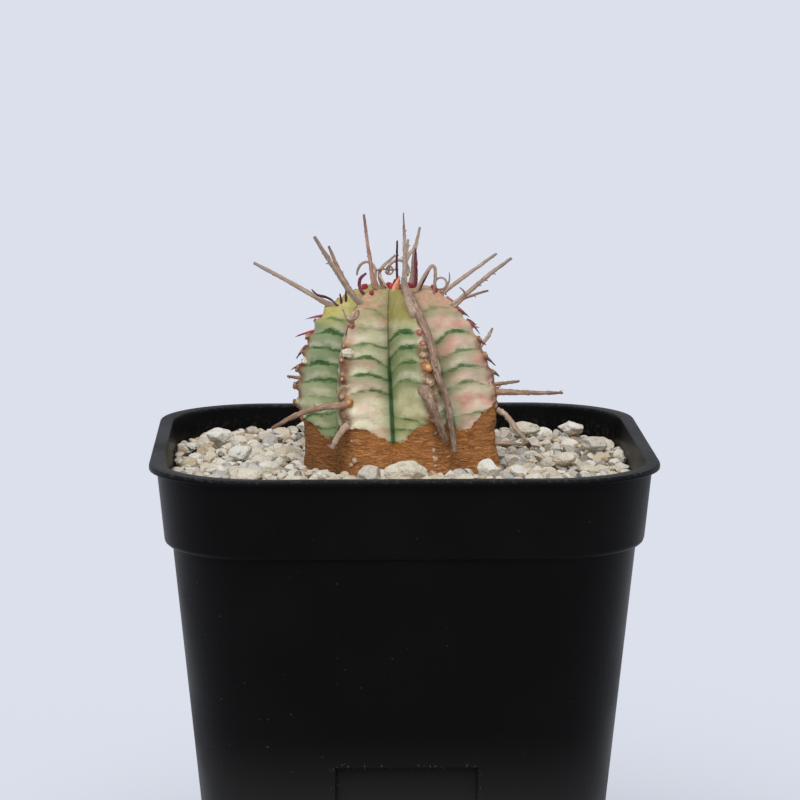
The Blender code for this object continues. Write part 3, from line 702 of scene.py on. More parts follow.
def stem_point(rib, level, lift=0.0):
    """A point on the skin; whole ribs are crests, and half way between lies a groove."""
    radius, height = outline(level)
    crest, _, flank = flank_of(rib)
    normal = outline_normal(level)
    lobe = 1 - valley_depth(level) * flank ** 1.4
    heading = rib_heading(rib, level)
    swell = 0.0
    if level > -0.12:
        x, y, z = math.sin(heading) * 14, math.cos(heading) * 14, height / mm
        skin = ease(cork_edge(rib, level) / (0.5 * mm) + 0.5)
        # A low fold between bands and a knob on the crest just below each band
        bend = 0.04 * math.sin(math.pi * min(flank / 0.7, 1.0)) - 0.045 * ease((flank - 0.4) / 0.6)
        place = level - bend - row_shift(crest)
        gap = min(abs(place - band) for band in row_levels) * stem_height
        fold = 1 - math.exp(-(gap / fold_width) ** 2)
        young = ease((1.01 - level) / 0.12)
        swell += fold_depth * (fold - 0.6) * young * skin * (0.5 + 0.5 * ease(flank / 0.3))
        knob = 0.0
        for band in row_levels[2:]:
            off = (level - row_shift(crest) - band + 0.012) * stem_height
            off -= 0.10 * mm * wander(band * 90, crest * 5.0, 0, 1.0)
            if abs(off) < 2 * mm:
                size = 0.75 + 0.45 * wander(band * 70, crest * 9.0, 4.0, 1.0)
                knob += size * math.exp(-(off / knob_half_length) ** 2)
        on_knob = math.exp(-(flank / knob_half_width) ** 2)
        swell += knob_height * knob * on_knob * young * (0.25 + 0.75 * skin)
        # Cork lies a little under the skin and is finely wrinkled
        swell -= cork_sink * (1 - skin)
        wave = z + 0.5 * wander(x, y, z, 1.5)
        swell += (1 - skin) * (cork_wrinkle * wander(x * 0.35, y * 0.35, wave, 0.26)
                               + cork_lump * wander(x, y, z, 1.6))
        swell += skin_wave * wander(x, y, z, 3.2) * skin
        if crest in (0, 6):
            swell -= crown_dip * ease((level - 0.84) / 0.08) * (1 - ease(flank)) * young
        rough_edge = math.exp(-(flank / 0.09) ** 2) * skin * ease((0.78 - level) / 0.2)
        swell += scab_height * rough_edge * wander(x * 1.3, y * 1.3, z * 1.3, 0.7)
    radius = radius * lobe + normal.x * (lift + swell)
    height += normal.y * (lift + swell)
    return Vector((
        stem_shift - stem_lean * height + radius * math.sin(heading),
        -radius * math.cos(heading),
        gravel_height + height,
    ))


def band_cover(rib, level, drift):
    """How far inside the nearest growth band a place lies, in mm, how dark that band is, and
    how close under a band the place lies."""
    crest, side, flank = flank_of(rib)
    bands = flank_bands.get((crest, side))
    if bands is None:
        shift = row_shift(crest)
        bands = [(groove + shift, peak + shift, top + shift, width, strength)
                 for groove, peak, top, width, strength in plain_bands]
    best, dark, under = -9.0, 0.0, 0.0
    for groove, peak, top, width, strength in bands:
        if flank < 0.45:
            middle = top + (peak - top) * ease(flank / 0.45)
        else:
            middle = peak + (groove - peak) * ease((flank - 0.45) / 0.55) ** 1.2
        full = width * (0.35 + 0.65 * ease(flank / 0.35)) * (1 - 0.25 * ease((flank - 0.6) / 0.4))
        full *= 1.1 + 0.7 * drift
        below = (middle - level) * stem_height / mm + 0.25 * drift
        cover = full / 2 - abs(below)
        if 0 < below < 1.5:
            under = max(under, strength * (1 - below / 1.5) * ease(flank / 0.3))
        if cover > best:
            fade = 0.15 + 0.85 * ease((flank - 0.04) / 0.28)
            best, dark = cover, strength * fade * (0.95 + 0.35 * drift)
    return best, min(max(dark, 0.0), 1.0), under


def stem_levels():
    """Levels of the mesh's rings, from the growing tip to the root's tip."""
    dome = [widest_level + (1 - widest_level) * math.cos(math.pi / 2 * (ring / dome_rings) ** 0.92)
            for ring in range(dome_rings)]
    side = [widest_level * (1 - ring / side_rings) for ring in range(side_rings)]
    neck = [-neck_depth / stem_height * math.sin(math.pi / 2 * ring / neck_rings)
            for ring in range(neck_rings)]
    root = [-(neck_depth + root_length * (step / root_levels) ** 0.8) / stem_height
            for step in range(root_levels + 1)]
    return dome + side + neck + root


levels = stem_levels()
ring_count = len(levels) - 1
clear_selection()
bpy.ops.mesh.primitive_uv_sphere_add(
    segments=rib_count * facets_per_rib, ring_count=ring_count, radius=1.0, location=(0, 0, 0))
stem = bpy.context.object
stem.name = "euphorbia_stem"
place_of = []
for vertex in stem.data.vertices:
    polar = math.acos(min(max(vertex.co.z, -1.0), 1.0))
    ring = round(polar / math.pi * ring_count)
    turn = math.atan2(vertex.co.y, vertex.co.x) / (2 * math.pi) % 1.0
    facet = round(turn * rib_count * facets_per_rib) % (rib_count * facets_per_rib)
    place_of.append((facet / facets_per_rib, levels[ring], ring))

point_count = len(place_of)
skin_points = np.zeros((point_count, 3))
tint = np.ones((point_count, 4))
values = {name: np.zeros(point_count) for name in
          ("flank", "band", "band_dark", "under", "cork", "cork_dark", "blush", "level",
           "groove_dark")}
for index, (rib, level, ring) in enumerate(place_of):
    if ring in (0, ring_count):
        height = outline(level)[1]
        skin_points[index] = (stem_shift - stem_lean * height, 0.0, gravel_height + height)
    else:
        skin_points[index] = stem_point(rib, level)
    crest, side, flank = flank_of(rib)
    x, y, z = skin_points[index] / mm
    drift = wander(x, y, z, 3.4)
    low, middle, top, pinkness = flank_tints.get((crest, side), plain_tints)
    up = ease((level - 0.40) / 0.14)
    over = ease((level - 0.74 + 0.03 * drift) / 0.12)
    colour = np.array(low) * (1 - up) + np.array(middle) * up
    colour = colour * (1 - over) + np.array(top) * over
    # Colours of neighbouring flanks run into each other over the crest and in the groove
    if flank < 0.16:
        other = flank_tints.get((crest, -side), plain_tints)
        share = 0.5 * (1 - flank / 0.16)
        mixed = np.array(other[0]) * (1 - up) + np.array(other[1]) * up
        mixed = mixed * (1 - over) + np.array(other[2]) * over
        colour = colour * (1 - share) + mixed * share
    tint[index, :3] = colour * (1 + 0.16 * wander(x, y, z, 4.0))
    values["flank"][index] = flank
    values["band"][index], values["band_dark"][index], values["under"][index] = band_cover(
        rib, level, drift)
    values["cork"][index] = cork_edge(rib, level) / mm
    # Painted shade: the cork on the ribs that face away to the left and back is darkened
    on_left = 1 - ease((rib - 0.75) / 0.4) if rib < 3.5 else ease((rib - 6.0) / 0.6)
    values["cork_dark"][index] = 0.6 * on_left
    near_crest = math.exp(-(flank / 0.30) ** 2)
    blot = ease((wander(x * 0.6, y * 0.6, z * 1.6, 2.3) + 0.10) / 0.45)
    blush = pinkness * (0.75 * blot + 0.35 * near_crest * ease((level - 0.3) / 0.3))
    crown = ease((level - 0.84) / 0.08) * math.exp(-(flank / 0.55) ** 2)
    values["blush"][index] = min(max(blush + 0.55 * crown * (0.25 + pinkness), 0), 1)
    values["level"][index] = level
    # Painted shade beside the groove, low on the stem
    near_groove = ease((flank - 0.62) / 0.38)
    values["groove_dark"][index] = near_groove * ease((0.72 - level) / 0.2)
stem.data.vertices.foreach_set("co", skin_points.ravel())
for name, column in values.items():
    set_value(stem, name, column)
tint_data = stem.data.attributes.new("tint", "FLOAT_COLOR", "POINT")
tint_data.data.foreach_set("color", tint.ravel())
stem.data.update()
enter_edit(stem)
face_outwards()
leave_edit()

skin, tree, shader = finish_of("stem_skin", (0.6, 0.6, 0.4, 1), 0.55)
cloud = use_group(tree, mottle, Scale=420.0, Detail=4.0, Low=0.3, High=0.7)
fleck = use_group(tree, mottle, Scale=1500.0, Detail=3.0, Low=0.35, High=0.65)
colour = coat(tree, attribute(tree, "tint", "Color"), cloud, 0.16, (0.74, 0.69, 0.50, 1))
pink = blend(tree, cloud, (0.67, 0.27, 0.225, 1), (0.68, 0.43, 0.34, 1))
colour = coat(tree, colour, attribute(tree, "blush"), 0.80, pink)
colour = coat(tree, colour, fleck, 0.14, (0.30, 0.36, 0.18, 1))
# Long faint streaks run up the flank
streak = drawn_noise(tree, (2.2, 2.2, 0.35), Scale=900.0, Detail=3.0, Roughness=0.6)
streak_mask = ramp_between(tree, streak, 0.50, 0.70)
colour = coat(tree, colour, streak_mask, 0.13, (0.33, 0.40, 0.20, 1))
# Fine lines of growth run across the flank, brown on green skin and red on pink skin
lines = drawn_noise(
    tree, (0.45, 0.45, 2.2), Scale=1500.0, Detail=4.0, Roughness=0.6, Distortion=0.8)
line_colour = blend(tree, attribute(tree, "blush"), (0.25, 0.27, 0.12, 1), (0.52, 0.22, 0.16, 1))
fine_lines = times(tree, ramp_between(tree, lines, 0.50, 0.68), 0.34)
colour = blend(tree, fine_lines, colour, line_colour)
scars = use_group(tree, specks, Scale=1000.0, Size=0.11, Share=0.22)
colour = coat(tree, colour, scars, 0.5, (0.22, 0.11, 0.07, 1))
top_patch = times(tree, ramp_between(tree, attribute(tree, "level"), 0.82, 0.92), fleck)
colour = coat(tree, colour, top_patch, 0.42, (0.26, 0.23, 0.07, 1))
under = attribute(tree, "under")
over_band = maths(tree, "SUBTRACT", 1.0, ramp_between(tree, under, 0.0, 0.45))
below_top = ramp_between(tree, attribute(tree, "level"), 0.86, 0.76)
pale = times(tree, times(tree, over_band, cloud), below_top)
pale = times(tree, pale, 0.42)
colour = blend(tree, pale, colour, (0.82, 0.76, 0.60, 1))
colour = coat(tree, colour, under, 0.62, (0.20, 0.27, 0.12, 1))
ragged = times(tree, maths(tree, "SUBTRACT", fleck, 0.5), 0.10)
ragged = maths(tree, "ADD", ragged, maths(tree, "SUBTRACT", 0.5, lines))
inside = maths(tree, "SUBTRACT", attribute(tree, "band"), ragged)
dark = attribute(tree, "band_dark")
halo = ramp_between(tree, inside, -0.60, 0.05)
line = ramp_between(tree, inside, -0.14, 0.12)
colour = coat(tree, colour, times(tree, halo, dark), 0.45, (0.17, 0.27, 0.085, 1))
colour = coat(tree, colour, times(tree, line, dark), 0.92, (0.022, 0.080, 0.018, 1))
# Painted shade darkens the flank beside the groove low down. The groove is a fine brown seam high up
# and a broad green line lower down
shade_side = attribute(tree, "groove_dark")
colour = coat(tree, colour, shade_side, 0.55, (0.16, 0.25, 0.105, 1))
narrow_seam = ramp_between(tree, attribute(tree, "flank"), 0.945, 0.99)
wide_seam = ramp_between(tree, attribute(tree, "flank"), 0.895, 0.975)
low_down = ramp_between(tree, attribute(tree, "level"), 0.70, 0.55)
seam = add_node(tree, "ShaderNodeMix", {0: low_down, 2: narrow_seam, 3: wide_seam}).outputs[0]
seam_colour = blend(tree, low_down, (0.12, 0.10, 0.045, 1), (0.018, 0.070, 0.018, 1))
colour = coat(tree, colour, seam, 0.95, seam_colour)
# Old crests are stained and corky between the cushions
on_crest = ramp_between(tree, attribute(tree, "flank"), 0.24, 0.06)
old = ramp_between(tree, attribute(tree, "level"), 0.78, 0.66)
stain = use_group(tree, mottle, Scale=1100.0, Detail=4.0, Low=0.30, High=0.50)
crest_share = times(tree, times(tree, on_crest, old), stain)
colour = coat(tree, colour, crest_share, 0.85, (0.20, 0.075, 0.035, 1))
# Cork, with a bright rim where it creeps up the skin
cork_height = maths(tree, "ADD", attribute(tree, "cork"),
                    times(tree, maths(tree, "SUBTRACT", fleck, 0.5), 0.55))
cork = ramp_between(tree, cork_height, 0.12, -0.10)
rim_glow = ramp_between(tree, cork_height, -0.9, 0.0)
fibre = drawn_noise(
    tree, (0.36, 0.36, 2.0), Scale=1900.0, Detail=4.0, Roughness=0.62, Distortion=1.6)
fibre_value = ramp_between(tree, fibre, 0.30, 0.68)
cork_colour = blend(tree, fibre_value, (0.24, 0.085, 0.026, 1), (0.70, 0.335, 0.125, 1))
cork_patch = use_group(tree, mottle, Scale=380.0, Detail=4.0, Low=0.35, High=0.65)
cork_colour = coat(tree, cork_colour, cork_patch, 0.45, (0.48, 0.18, 0.055, 1))
cork_colour = coat(tree, cork_colour, rim_glow, 0.62, (0.56, 0.20, 0.035, 1))
# Painted shade multiplies the cork darker on the left and back ribs
cork_colour = blend(tree, attribute(tree, "cork_dark"), cork_colour, (0.35, 0.33, 0.32, 1),
                    "MULTIPLY")
colour = blend(tree, cork, colour, cork_colour)
paint_all(tree, shader, colour)
rough = maths(tree, "ADD", times(tree, cork, 0.38), 0.50)
tree.links.new(rough, shader.inputs["Roughness"])
relief = maths(tree, "ADD", times(tree, fibre_value, cork), times(tree, fleck, 0.10))
bump(tree, shader, relief, 0.8, 0.00018)
shader.inputs["Specular IOR Level"].default_value = 0.16
dress(stem, skin)
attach(stem, "root")
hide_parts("stem")

# ---- Gravel ---------------------------------------------------------------------------
# The top dressing is dry, washed grit: cream, white and ochre stones with worn corners, most of
# them 2 to 4 mm, poured loose round the foot of the stem. They lie where they were dropped.
bed_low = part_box("gravel_bed")[0]
base_height = rim_height - 7.4 * mm
stone_kinds = 12
cell = 0.25 * mm
stone_sizes = ((3.5 * mm, 5.2 * mm), (2.4 * mm, 3.7 * mm), (1.3 * mm, 2.4 * mm))
stone_shares = (0.30, 0.50, 0.20)
most_stones = 4200
most_attempts = 30000
# After this many attempts only the finest grit still finds room
fine_after = 12000
places_tried = 6
dice = random.Random(11)


def strike_flat(strikes, nearest, farthest):
    """Strikes flats on the stone in edit mode, each at some distance from its middle."""
    for strike in range(strikes):
        direction = Vector((dice.uniform(-1, 1), dice.uniform(-1, 1), dice.uniform(-1, 1)))
        direction.normalize()
        bpy.ops.mesh.select_all(action="SELECT")
        bpy.ops.mesh.bisect(
            plane_co=direction * dice.uniform(nearest, farthest), plane_no=direction,
            use_fill=True, clear_outer=True)


def make_stone(number):
    """One worn stone, about 1 across: a ball with its sides struck flat and its corners worn."""
    clear_selection()
    bpy.ops.mesh.primitive_ico_sphere_add(subdivisions=2, radius=0.5, location=(0, 0, 0))
    stone = bpy.context.object
    stone.name = f"stone_kind_{number}"
    enter_edit(stone)
    strike_flat(7, 0.26, 0.40)
    leave_edit()
    wear = stone.modifiers.new("wear", "BEVEL")
    wear.width = 0.045
    wear.segments = 1
    wear.limit_method = "ANGLE"
    wear.angle_limit = math.radians(24)
    thin = stone.modifiers.new("thin", "DECIMATE")
    thin.ratio = 0.55
    apply_modifiers(stone)
    enter_edit(stone)
    bpy.ops.mesh.select_all(action="SELECT")
    bpy.ops.mesh.quads_convert_to_tris()
    face_outwards()
    leave_edit()
    return stone


stone_models = [make_stone(number) for number in range(stone_kinds)]

# Height of the pile over the whole bed, and where stones can't go
grid_half = rim_half
grid_count = int(2 * grid_half / cell)
axis = (np.arange(grid_count) + 0.5) * cell - grid_half
grid_x, grid_y = np.meshgrid(axis, axis, indexing="ij")
pile = np.full((grid_count, grid_count), base_height)
inner_half = collar_half(gravel_height) - wall
inner_radius = corner_radius * 1.03
over_x = np.maximum(np.abs(grid_x) - (inner_half - inner_radius), 0)
over_y = np.maximum(np.abs(grid_y) - (inner_half - inner_radius), 0)
blocked = np.hypot(over_x, over_y) > inner_radius - 0.1 * mm
heading_grid = np.arctan2(grid_x - stem_shift, -grid_y)
distance_grid = np.hypot(grid_x - stem_shift, grid_y)
foot_ring = []
for step in range(rib_count * 60):
    rib = step / 60
    point = stem_point(rib, 0.02)
    foot_ring.append((math.atan2(point.x - stem_shift, -point.y),
                      math.hypot(point.x - stem_shift, point.y)))
foot_ring.sort()
foot_angles, foot_radii = np.array(foot_ring).T
stem_reach = np.interp(heading_grid, foot_angles, foot_radii, period=2 * math.pi)
blocked |= distance_grid < stem_reach + 0.05 * mm


def target_height(x, y):
    """The level that the dressing is filled to: heaped in front, lower at the sides."""
    front = ease((-y / mm - 6) / 10) * (1 - ease((abs(x) / mm - 16) / 12))
    side = ease((abs(x) / mm - 18) / 10)
    drop = 3.75 - 0.85 * front + 0.35 * side
    drop += 0.55 * wander(x / mm, y / mm, 2.7, 9.0)
    return rim_height - drop * mm


target = np.array([[target_height(x, y) for y in axis[::4]] for x in axis[::4]])
target = np.kron(target, np.ones((4, 4)))[:grid_count, :grid_count]
if target.shape != pile.shape:
    target = np.pad(target, ((0, grid_count - target.shape[0]), (0, grid_count - target.shape[1])),
                    mode="edge")

pebble_names = sorted(name for name in frame["nodes"] if name.startswith("pebble_"))
pebble_boxes = {name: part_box(name) for name in pebble_names}
under_pebble = np.full(pile.shape, np.inf)
for low, high in pebble_boxes.values():
    middle_x, middle_y = (low[0] + high[0]) / 2, (low[1] + high[1]) / 2
    half_x, half_y = (high[0] - low[0]) / 2, (high[1] - low[1]) / 2
    oval = ((grid_x - middle_x) / half_x) ** 2 + ((grid_y - middle_y) / half_y) ** 2
    sag = (high[2] - low[2]) / 2
    belly = (low[2] + high[2]) / 2 - sag * np.sqrt(np.clip(1 - oval, 0, 1))
    under_pebble = np.where(oval < 1, np.minimum(under_pebble, belly), under_pebble)

placements = []


def drop_stone(x, y, size, flat, turn, kind):
    """Lets one stone come to rest on the pile, if it fits there."""
    half_a, half_b = size / 2, size * flat[0] / 2
    half_c = size * flat[1] / 2
    reach = int(half_a / cell) + 2
    column, line_number = int((x + grid_half) / cell), int((y + grid_half) / cell)
    area = (slice(max(column - reach, 0), column + reach + 1),
            slice(max(line_number - reach, 0), line_number + reach + 1))
    dx, dy = grid_x[area] - x, grid_y[area] - y
    along = dx * math.cos(turn) + dy * math.sin(turn)
    across = -dx * math.sin(turn) + dy * math.cos(turn)
    inside = 1 - (along / half_a) ** 2 - (across / half_b) ** 2
    footprint = inside > 0
    if not footprint.any() or (blocked[area] & footprint).any():
        return False
    thickness = half_c * np.sqrt(np.clip(inside, 0, 1))
    rest = (pile[area] + thickness * 0.86)[footprint].max()
    top = rest + thickness
    if (top > under_pebble[area] + 0.15 * mm)[footprint].any():
        return False
    if rest + half_c * 0.5 > target[column, line_number] + 0.55 * mm:
        return False
    pile[area] = np.where(footprint, np.maximum(pile[area], top), pile[area])
    placements.append((x, y, rest, size, flat, turn, kind))
    return True


for attempt in range(most_attempts):
    if len(placements) >= most_stones:
        break
    # Look for low places: the best of a few random ones
    best = None
    for _ in range(places_tried):
        i, j = dice.randrange(grid_count), dice.randrange(grid_count)
        if blocked[i, j]:
            continue
        depth = target[i, j] - pile[i, j]
        if best is None or depth > best[0]:
            best = (depth, i, j)
    if best is None or best[0] < 0.2 * mm:
        continue
    pick = dice.random()
    group = 0 if pick < stone_shares[0] else 1 if pick < stone_shares[0] + stone_shares[1] else 2
    if attempt > fine_after:
        group = 2
    size = dice.uniform(*stone_sizes[group])
    flat = (dice.uniform(0.68, 0.98), dice.uniform(0.50, 0.85))
    drop_stone(axis[best[1]], axis[best[2]], size, flat, dice.uniform(0, math.pi),
               dice.randrange(stone_kinds))

grit_groups = 4
grit_cages = [bmesh.new() for _ in range(grit_groups)]
grit_tones = [[] for _ in range(grit_groups)]
for number, (x, y, z, size, flat, turn, kind) in enumerate(placements):
    group = number % grit_groups
    shape = stone_models[kind].data.copy()
    tilt = Matrix.Rotation(dice.uniform(-0.35, 0.35), 4, "X") @ Matrix.Rotation(
        dice.uniform(-0.35, 0.35), 4, "Y")
    spin = Matrix.Rotation(dice.choice((0, math.pi)), 4, "X")
    stretch = Matrix.Diagonal((size * 1.10, size * flat[0] * 1.10, size * flat[1] * 1.10, 1))
    shape.transform(Matrix.Translation((x, y, z)) @ Matrix.Rotation(turn, 4, "Z") @ tilt
                    @ stretch @ spin)
    before = len(grit_cages[group].verts)
    grit_cages[group].from_mesh(shape)
    grit_tones[group] += [dice.random()] * (len(grit_cages[group].verts) - before)
    bpy.data.meshes.remove(shape)

grit, tree, shader = finish_of("grit", (0.66, 0.6, 0.5, 1), 0.85)
tone = attribute(tree, "tone")
ramp = tree.nodes.new("ShaderNodeValToRGB")
tree.links.new(tone, ramp.inputs[0])
tone_stops = (
    (0.00, (0.50, 0.48, 0.44, 1)), (0.10, (0.78, 0.75, 0.67, 1)), (0.24, (0.66, 0.58, 0.43, 1)),
    (0.38, (0.82, 0.79, 0.71, 1)), (0.48, (0.44, 0.42, 0.40, 1)), (0.58, (0.72, 0.65, 0.51, 1)),
    (0.70, (0.54, 0.43, 0.28, 1)), (0.79, (0.80, 0.77, 0.69, 1)), (0.87, (0.42, 0.26, 0.11, 1)),
    (0.92, (0.20, 0.16, 0.12, 1)), (1.00, (0.62, 0.58, 0.50, 1)),
)
while len(ramp.color_ramp.elements) < len(tone_stops):
    ramp.color_ramp.elements.new(0.5)
for element, (position, stop_colour) in zip(ramp.color_ramp.elements, tone_stops):
    element.position = position
    element.color = stop_colour
stain = use_group(tree, mottle, Scale=520.0, Detail=5.0, Low=0.42, High=0.72)
grain = use_group(tree, mottle, Scale=2600.0, Detail=4.0, Low=0.3, High=0.7)
stone_colour = coat(tree, ramp.outputs[0], stain, 0.40, (0.60, 0.47, 0.29, 1))
stone_colour = coat(tree, stone_colour, grain, 0.19, (0.92, 0.90, 0.85, 1))
pits = use_group(tree, specks, Scale=1900.0, Size=0.22, Share=0.16)
stone_colour = coat(tree, stone_colour, pits, 0.35, (0.22, 0.18, 0.13, 1))
paint_all(tree, shader, stone_colour)
coarse = use_group(tree, mottle, Scale=900.0, Detail=5.0, Low=0.25, High=0.75)
rough_relief = maths(tree, "ADD", coarse, times(tree, grain, 0.35))
bump(tree, shader, rough_relief, 0.75, 0.00028)
shader.inputs["Specular IOR Level"].default_value = 0.3


def finish_stone_piece(piece, tones):
    set_value(piece, "tone", tones)
    piece.data.materials.clear()
    piece.data.materials.append(grit)
    activate(piece)
    bpy.ops.object.shade_smooth_by_angle(angle=math.radians(28))
    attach(piece, "root")


for group in range(grit_groups):
    mesh = bpy.data.meshes.new(f"grit_{group + 1}")
    grit_cages[group].to_mesh(mesh)
    grit_cages[group].free()
    piece = bpy.data.objects.new(f"grit_{group + 1}", mesh)
    bpy.context.scene.collection.objects.link(piece)
    finish_stone_piece(piece, grit_tones[group])
    if group == 0:
        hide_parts("gravel_bed")

# The buried part of the dressing, seen only between stones; its dark tone is painted shade for the
# crevices
clear_selection()
bpy.ops.mesh.primitive_grid_add(x_subdivisions=60, y_subdivisions=60, size=2 * inner_half,
                                location=(0, 0, base_height))
bed = bpy.context.object
bed.name = "grit_below"
settle(bed)
for vertex in bed.data.vertices:
    over_x = max(abs(vertex.co.x) - (inner_half - inner_radius), 0)
    over_y = max(abs(vertex.co.y) - (inner_half - inner_radius), 0)
    reach = math.hypot(over_x, over_y)
    if reach > inner_radius:
        pull = inner_radius / reach
        vertex.co.x = math.copysign(inner_half - inner_radius + over_x * pull, vertex.co.x)
        vertex.co.y = math.copysign(inner_half - inner_radius + over_y * pull, vertex.co.y)
    vertex.co.z += 0.5 * mm * wander(vertex.co.x / mm, vertex.co.y / mm, 0, 1.6)
enter_edit(bed)
bpy.ops.mesh.select_all(action="SELECT")
bpy.ops.mesh.extrude_region()
bpy.ops.transform.translate(value=(0, 0, bed_low[2] - base_height))
bpy.ops.transform.resize(value=(1, 1, 0), center_override=(0, 0, bed_low[2] + 0.1 * mm))
face_outwards()
leave_edit()
for vertex in bed.data.vertices:
    narrow = (inner_half - (rim_height - vertex.co.z) * collar_slope) / inner_half
    vertex.co.x *= narrow - 0.012
    vertex.co.y *= narrow - 0.012
# Tone 0.92 gives the buried ground a dark grey-brown, painted shade between the stones
finish_stone_piece(bed, [0.92] * len(bed.data.vertices))

# ---- Pebbles --------------------------------------------------------------------------
# The larger stones of the same grit stand out one by one. Each is a ball with its sides struck
# flat, worn round again, and lies where its solid lies.
for number, name in enumerate(pebble_names):
    low, high = (Vector(corner) for corner in pebble_boxes[name])
    clear_selection()
    bpy.ops.mesh.primitive_ico_sphere_add(subdivisions=3, radius=0.5, location=(0, 0, 0))
    pebble = bpy.context.object
    pebble.name = name + "_stone"
    enter_edit(pebble)
    strike_flat(9, 0.30, 0.42)
    leave_edit()
    remesh = pebble.modifiers.new("even", "REMESH")
    remesh.mode = "VOXEL"
    remesh.voxel_size = 0.034
    wear = pebble.modifiers.new("wear", "SMOOTH")
    wear.factor = 0.5
    wear.iterations = 2
    apply_modifiers(pebble)
    for vertex in pebble.data.vertices:
        seed = number * 7.3
        rough_part = noise.noise(vertex.co * 3.0 + Vector((seed, 0, 0))) * 0.05
        rough_part += noise.noise(vertex.co * 8.0 + Vector((0, seed, 0))) * 0.022
        vertex.co += vertex.co.normalized() * rough_part
    corners = np.array([vertex.co for vertex in pebble.data.vertices])
    size = high - low
    span = Vector(corners.max(axis=0) - corners.min(axis=0))
    middle = Vector(corners.max(axis=0) + corners.min(axis=0)) / 2
    for vertex in pebble.data.vertices:
        for side in range(3):
            vertex.co[side] = ((vertex.co[side] - middle[side]) / span[side] * size[side] * 1.08
                               + (low[side] + high[side]) / 2)
    pebble.data.update()
    finish_stone_piece(pebble, [(0.38, 0.10, 0.79, 0.28, 0.58, 0.99)[number % 6]] * len(corners))
    pebble.data.shade_smooth()
    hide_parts(name)

for model in stone_models:
    bpy.data.objects.remove(model, do_unlink=True)

# ---- Dried flower stalks --------------------------------------------------------------
# Last year's flower stalks dried where they grew: thin, tapering, fibrous rods on the rib crests,
# tan to purple-red, with small scars and scale stumps where bracts dropped off.
stalk_sides = 4
stem_middle = Vector((0, 0, gravel_height + 0.45 * stem_height))


def over_gravel(x, y, z):
    """A place given in mm, its height counted from the gravel."""
    return Vector((x * mm, y * mm, gravel_height + z * mm))


def solid_points(name):
    """The corner points of a plain solid, without repeats."""
    points = np.array([vertex.co for vertex in frame["nodes"][name].data.vertices])
    return np.unique(np.round(points / (0.002 * mm)).astype(int), axis=0) * 0.002 * mm


def straight_rings(name):
    """Middle and radius of each ring of a plain rod, from its foot to its tip."""
    points = solid_points(name)
    middle = points.mean(axis=0)
    direction = np.linalg.svd(points - middle, full_matrices=False)[2][0]
    along = (points - middle) @ direction
    order = np.argsort(along)
    steps = np.diff(along[order])
    count = round(len(points) / 6)
    breaks = np.sort(np.argsort(steps)[-(count - 1):]) + 1
    rings = []
    for members in np.split(order, breaks):
        centre = points[members].mean(axis=0)
        radius = np.linalg.norm(points[members] - centre, axis=1).mean()
        rings.append((Vector(centre), radius))
    if (rings[0][0] - stem_middle).length > (rings[-1][0] - stem_middle).length:
        rings.reverse()
    return rings


def curled_rings(name):
    """The same for a rod that is bent into an arc."""
    points = solid_points(name)
    middle = points.mean(axis=0)
    across, up, _ = np.linalg.svd(points - middle, full_matrices=False)[2]
    flat = np.column_stack([(points - middle) @ across, (points - middle) @ up])
    table = np.column_stack([2 * flat, np.ones(len(flat))])
    centre = np.linalg.lstsq(table, (flat ** 2).sum(axis=1), rcond=None)[0][:2]
    angles = np.arctan2(flat[:, 1] - centre[1], flat[:, 0] - centre[0])
    order = np.argsort(angles)
    gaps = np.diff(np.append(angles[order], angles[order[0]] + 2 * math.pi))
    order = np.roll(order, -(int(np.argmax(gaps)) + 1))
    unrolled = np.unwrap(angles[order])
    count = round(len(points) / 6)
    breaks = np.sort(np.argsort(np.diff(unrolled))[-(count - 1):]) + 1
    rings = []
    for members in np.split(order, breaks):
        ring_middle = points[members].mean(axis=0)
        radius = np.linalg.norm(points[members] - ring_middle, axis=1).mean()
        rings.append((Vector(ring_middle), radius))
    if rings[0][0].z > rings[-1][0].z:
        rings.reverse()
    return rings


def grow_rod(name, rings, sink, waviness, taper_end, seed, knobbliness=0.16):
    """A fibrous rod through the rings: a bevelled spline made a mesh, then wrinkled and bent."""
    points = [ring[0] for ring in rings]
    radii = [ring[1] for ring in rings]
    inward = Vector((stem_middle.x - points[0].x, stem_middle.y - points[0].y, 0)).normalized()
    inward -= (points[1] - points[0]).normalized() * 0.6
    points.insert(0, points[0] + inward.normalized() * sink)
    radii.insert(0, radii[0] * 1.12)
    data = bpy.data.curves.new(name, "CURVE")
    data.dimensions = "3D"
    data.bevel_depth = 1.0
    data.bevel_resolution = stalk_sides
    data.resolution_u = 6
    data.use_fill_caps = True
    spline = data.splines.new("NURBS")
    spline.points.add(len(points) - 1)
    for point, place, radius in zip(spline.points, points, radii):
        point.co = (*place, 1.0)
        point.radius = radius
    spline.points[len(points) - 1].radius *= taper_end
    spline.use_endpoint_u = True
    spline.order_u = 3
    rod = bpy.data.objects.new(name, data)
    bpy.context.scene.collection.objects.link(rod)
    activate(rod)
    bpy.ops.object.convert(target="MESH")
    rod = bpy.context.object
    rod.name = name
    enter_edit(rod)
    bpy.ops.mesh.select_all(action="SELECT")
    bpy.ops.mesh.remove_doubles(threshold=0.01 * mm)
    face_outwards()
    leave_edit()
    spot = Vector((seed * 3.7, seed * 1.9, 0))
    thickest = max(radii)
    for vertex in rod.data.vertices:
        place = vertex.co / mm
        sway = Vector((noise.noise(place * 0.28 + spot), noise.noise(place * 0.28 - spot), 0))
        vertex.co += sway * waviness * thickest
        vertex.co += vertex.normal * thickest * knobbliness * noise.noise(place * 2.6 + spot)
    rod.data.update()
    return rod


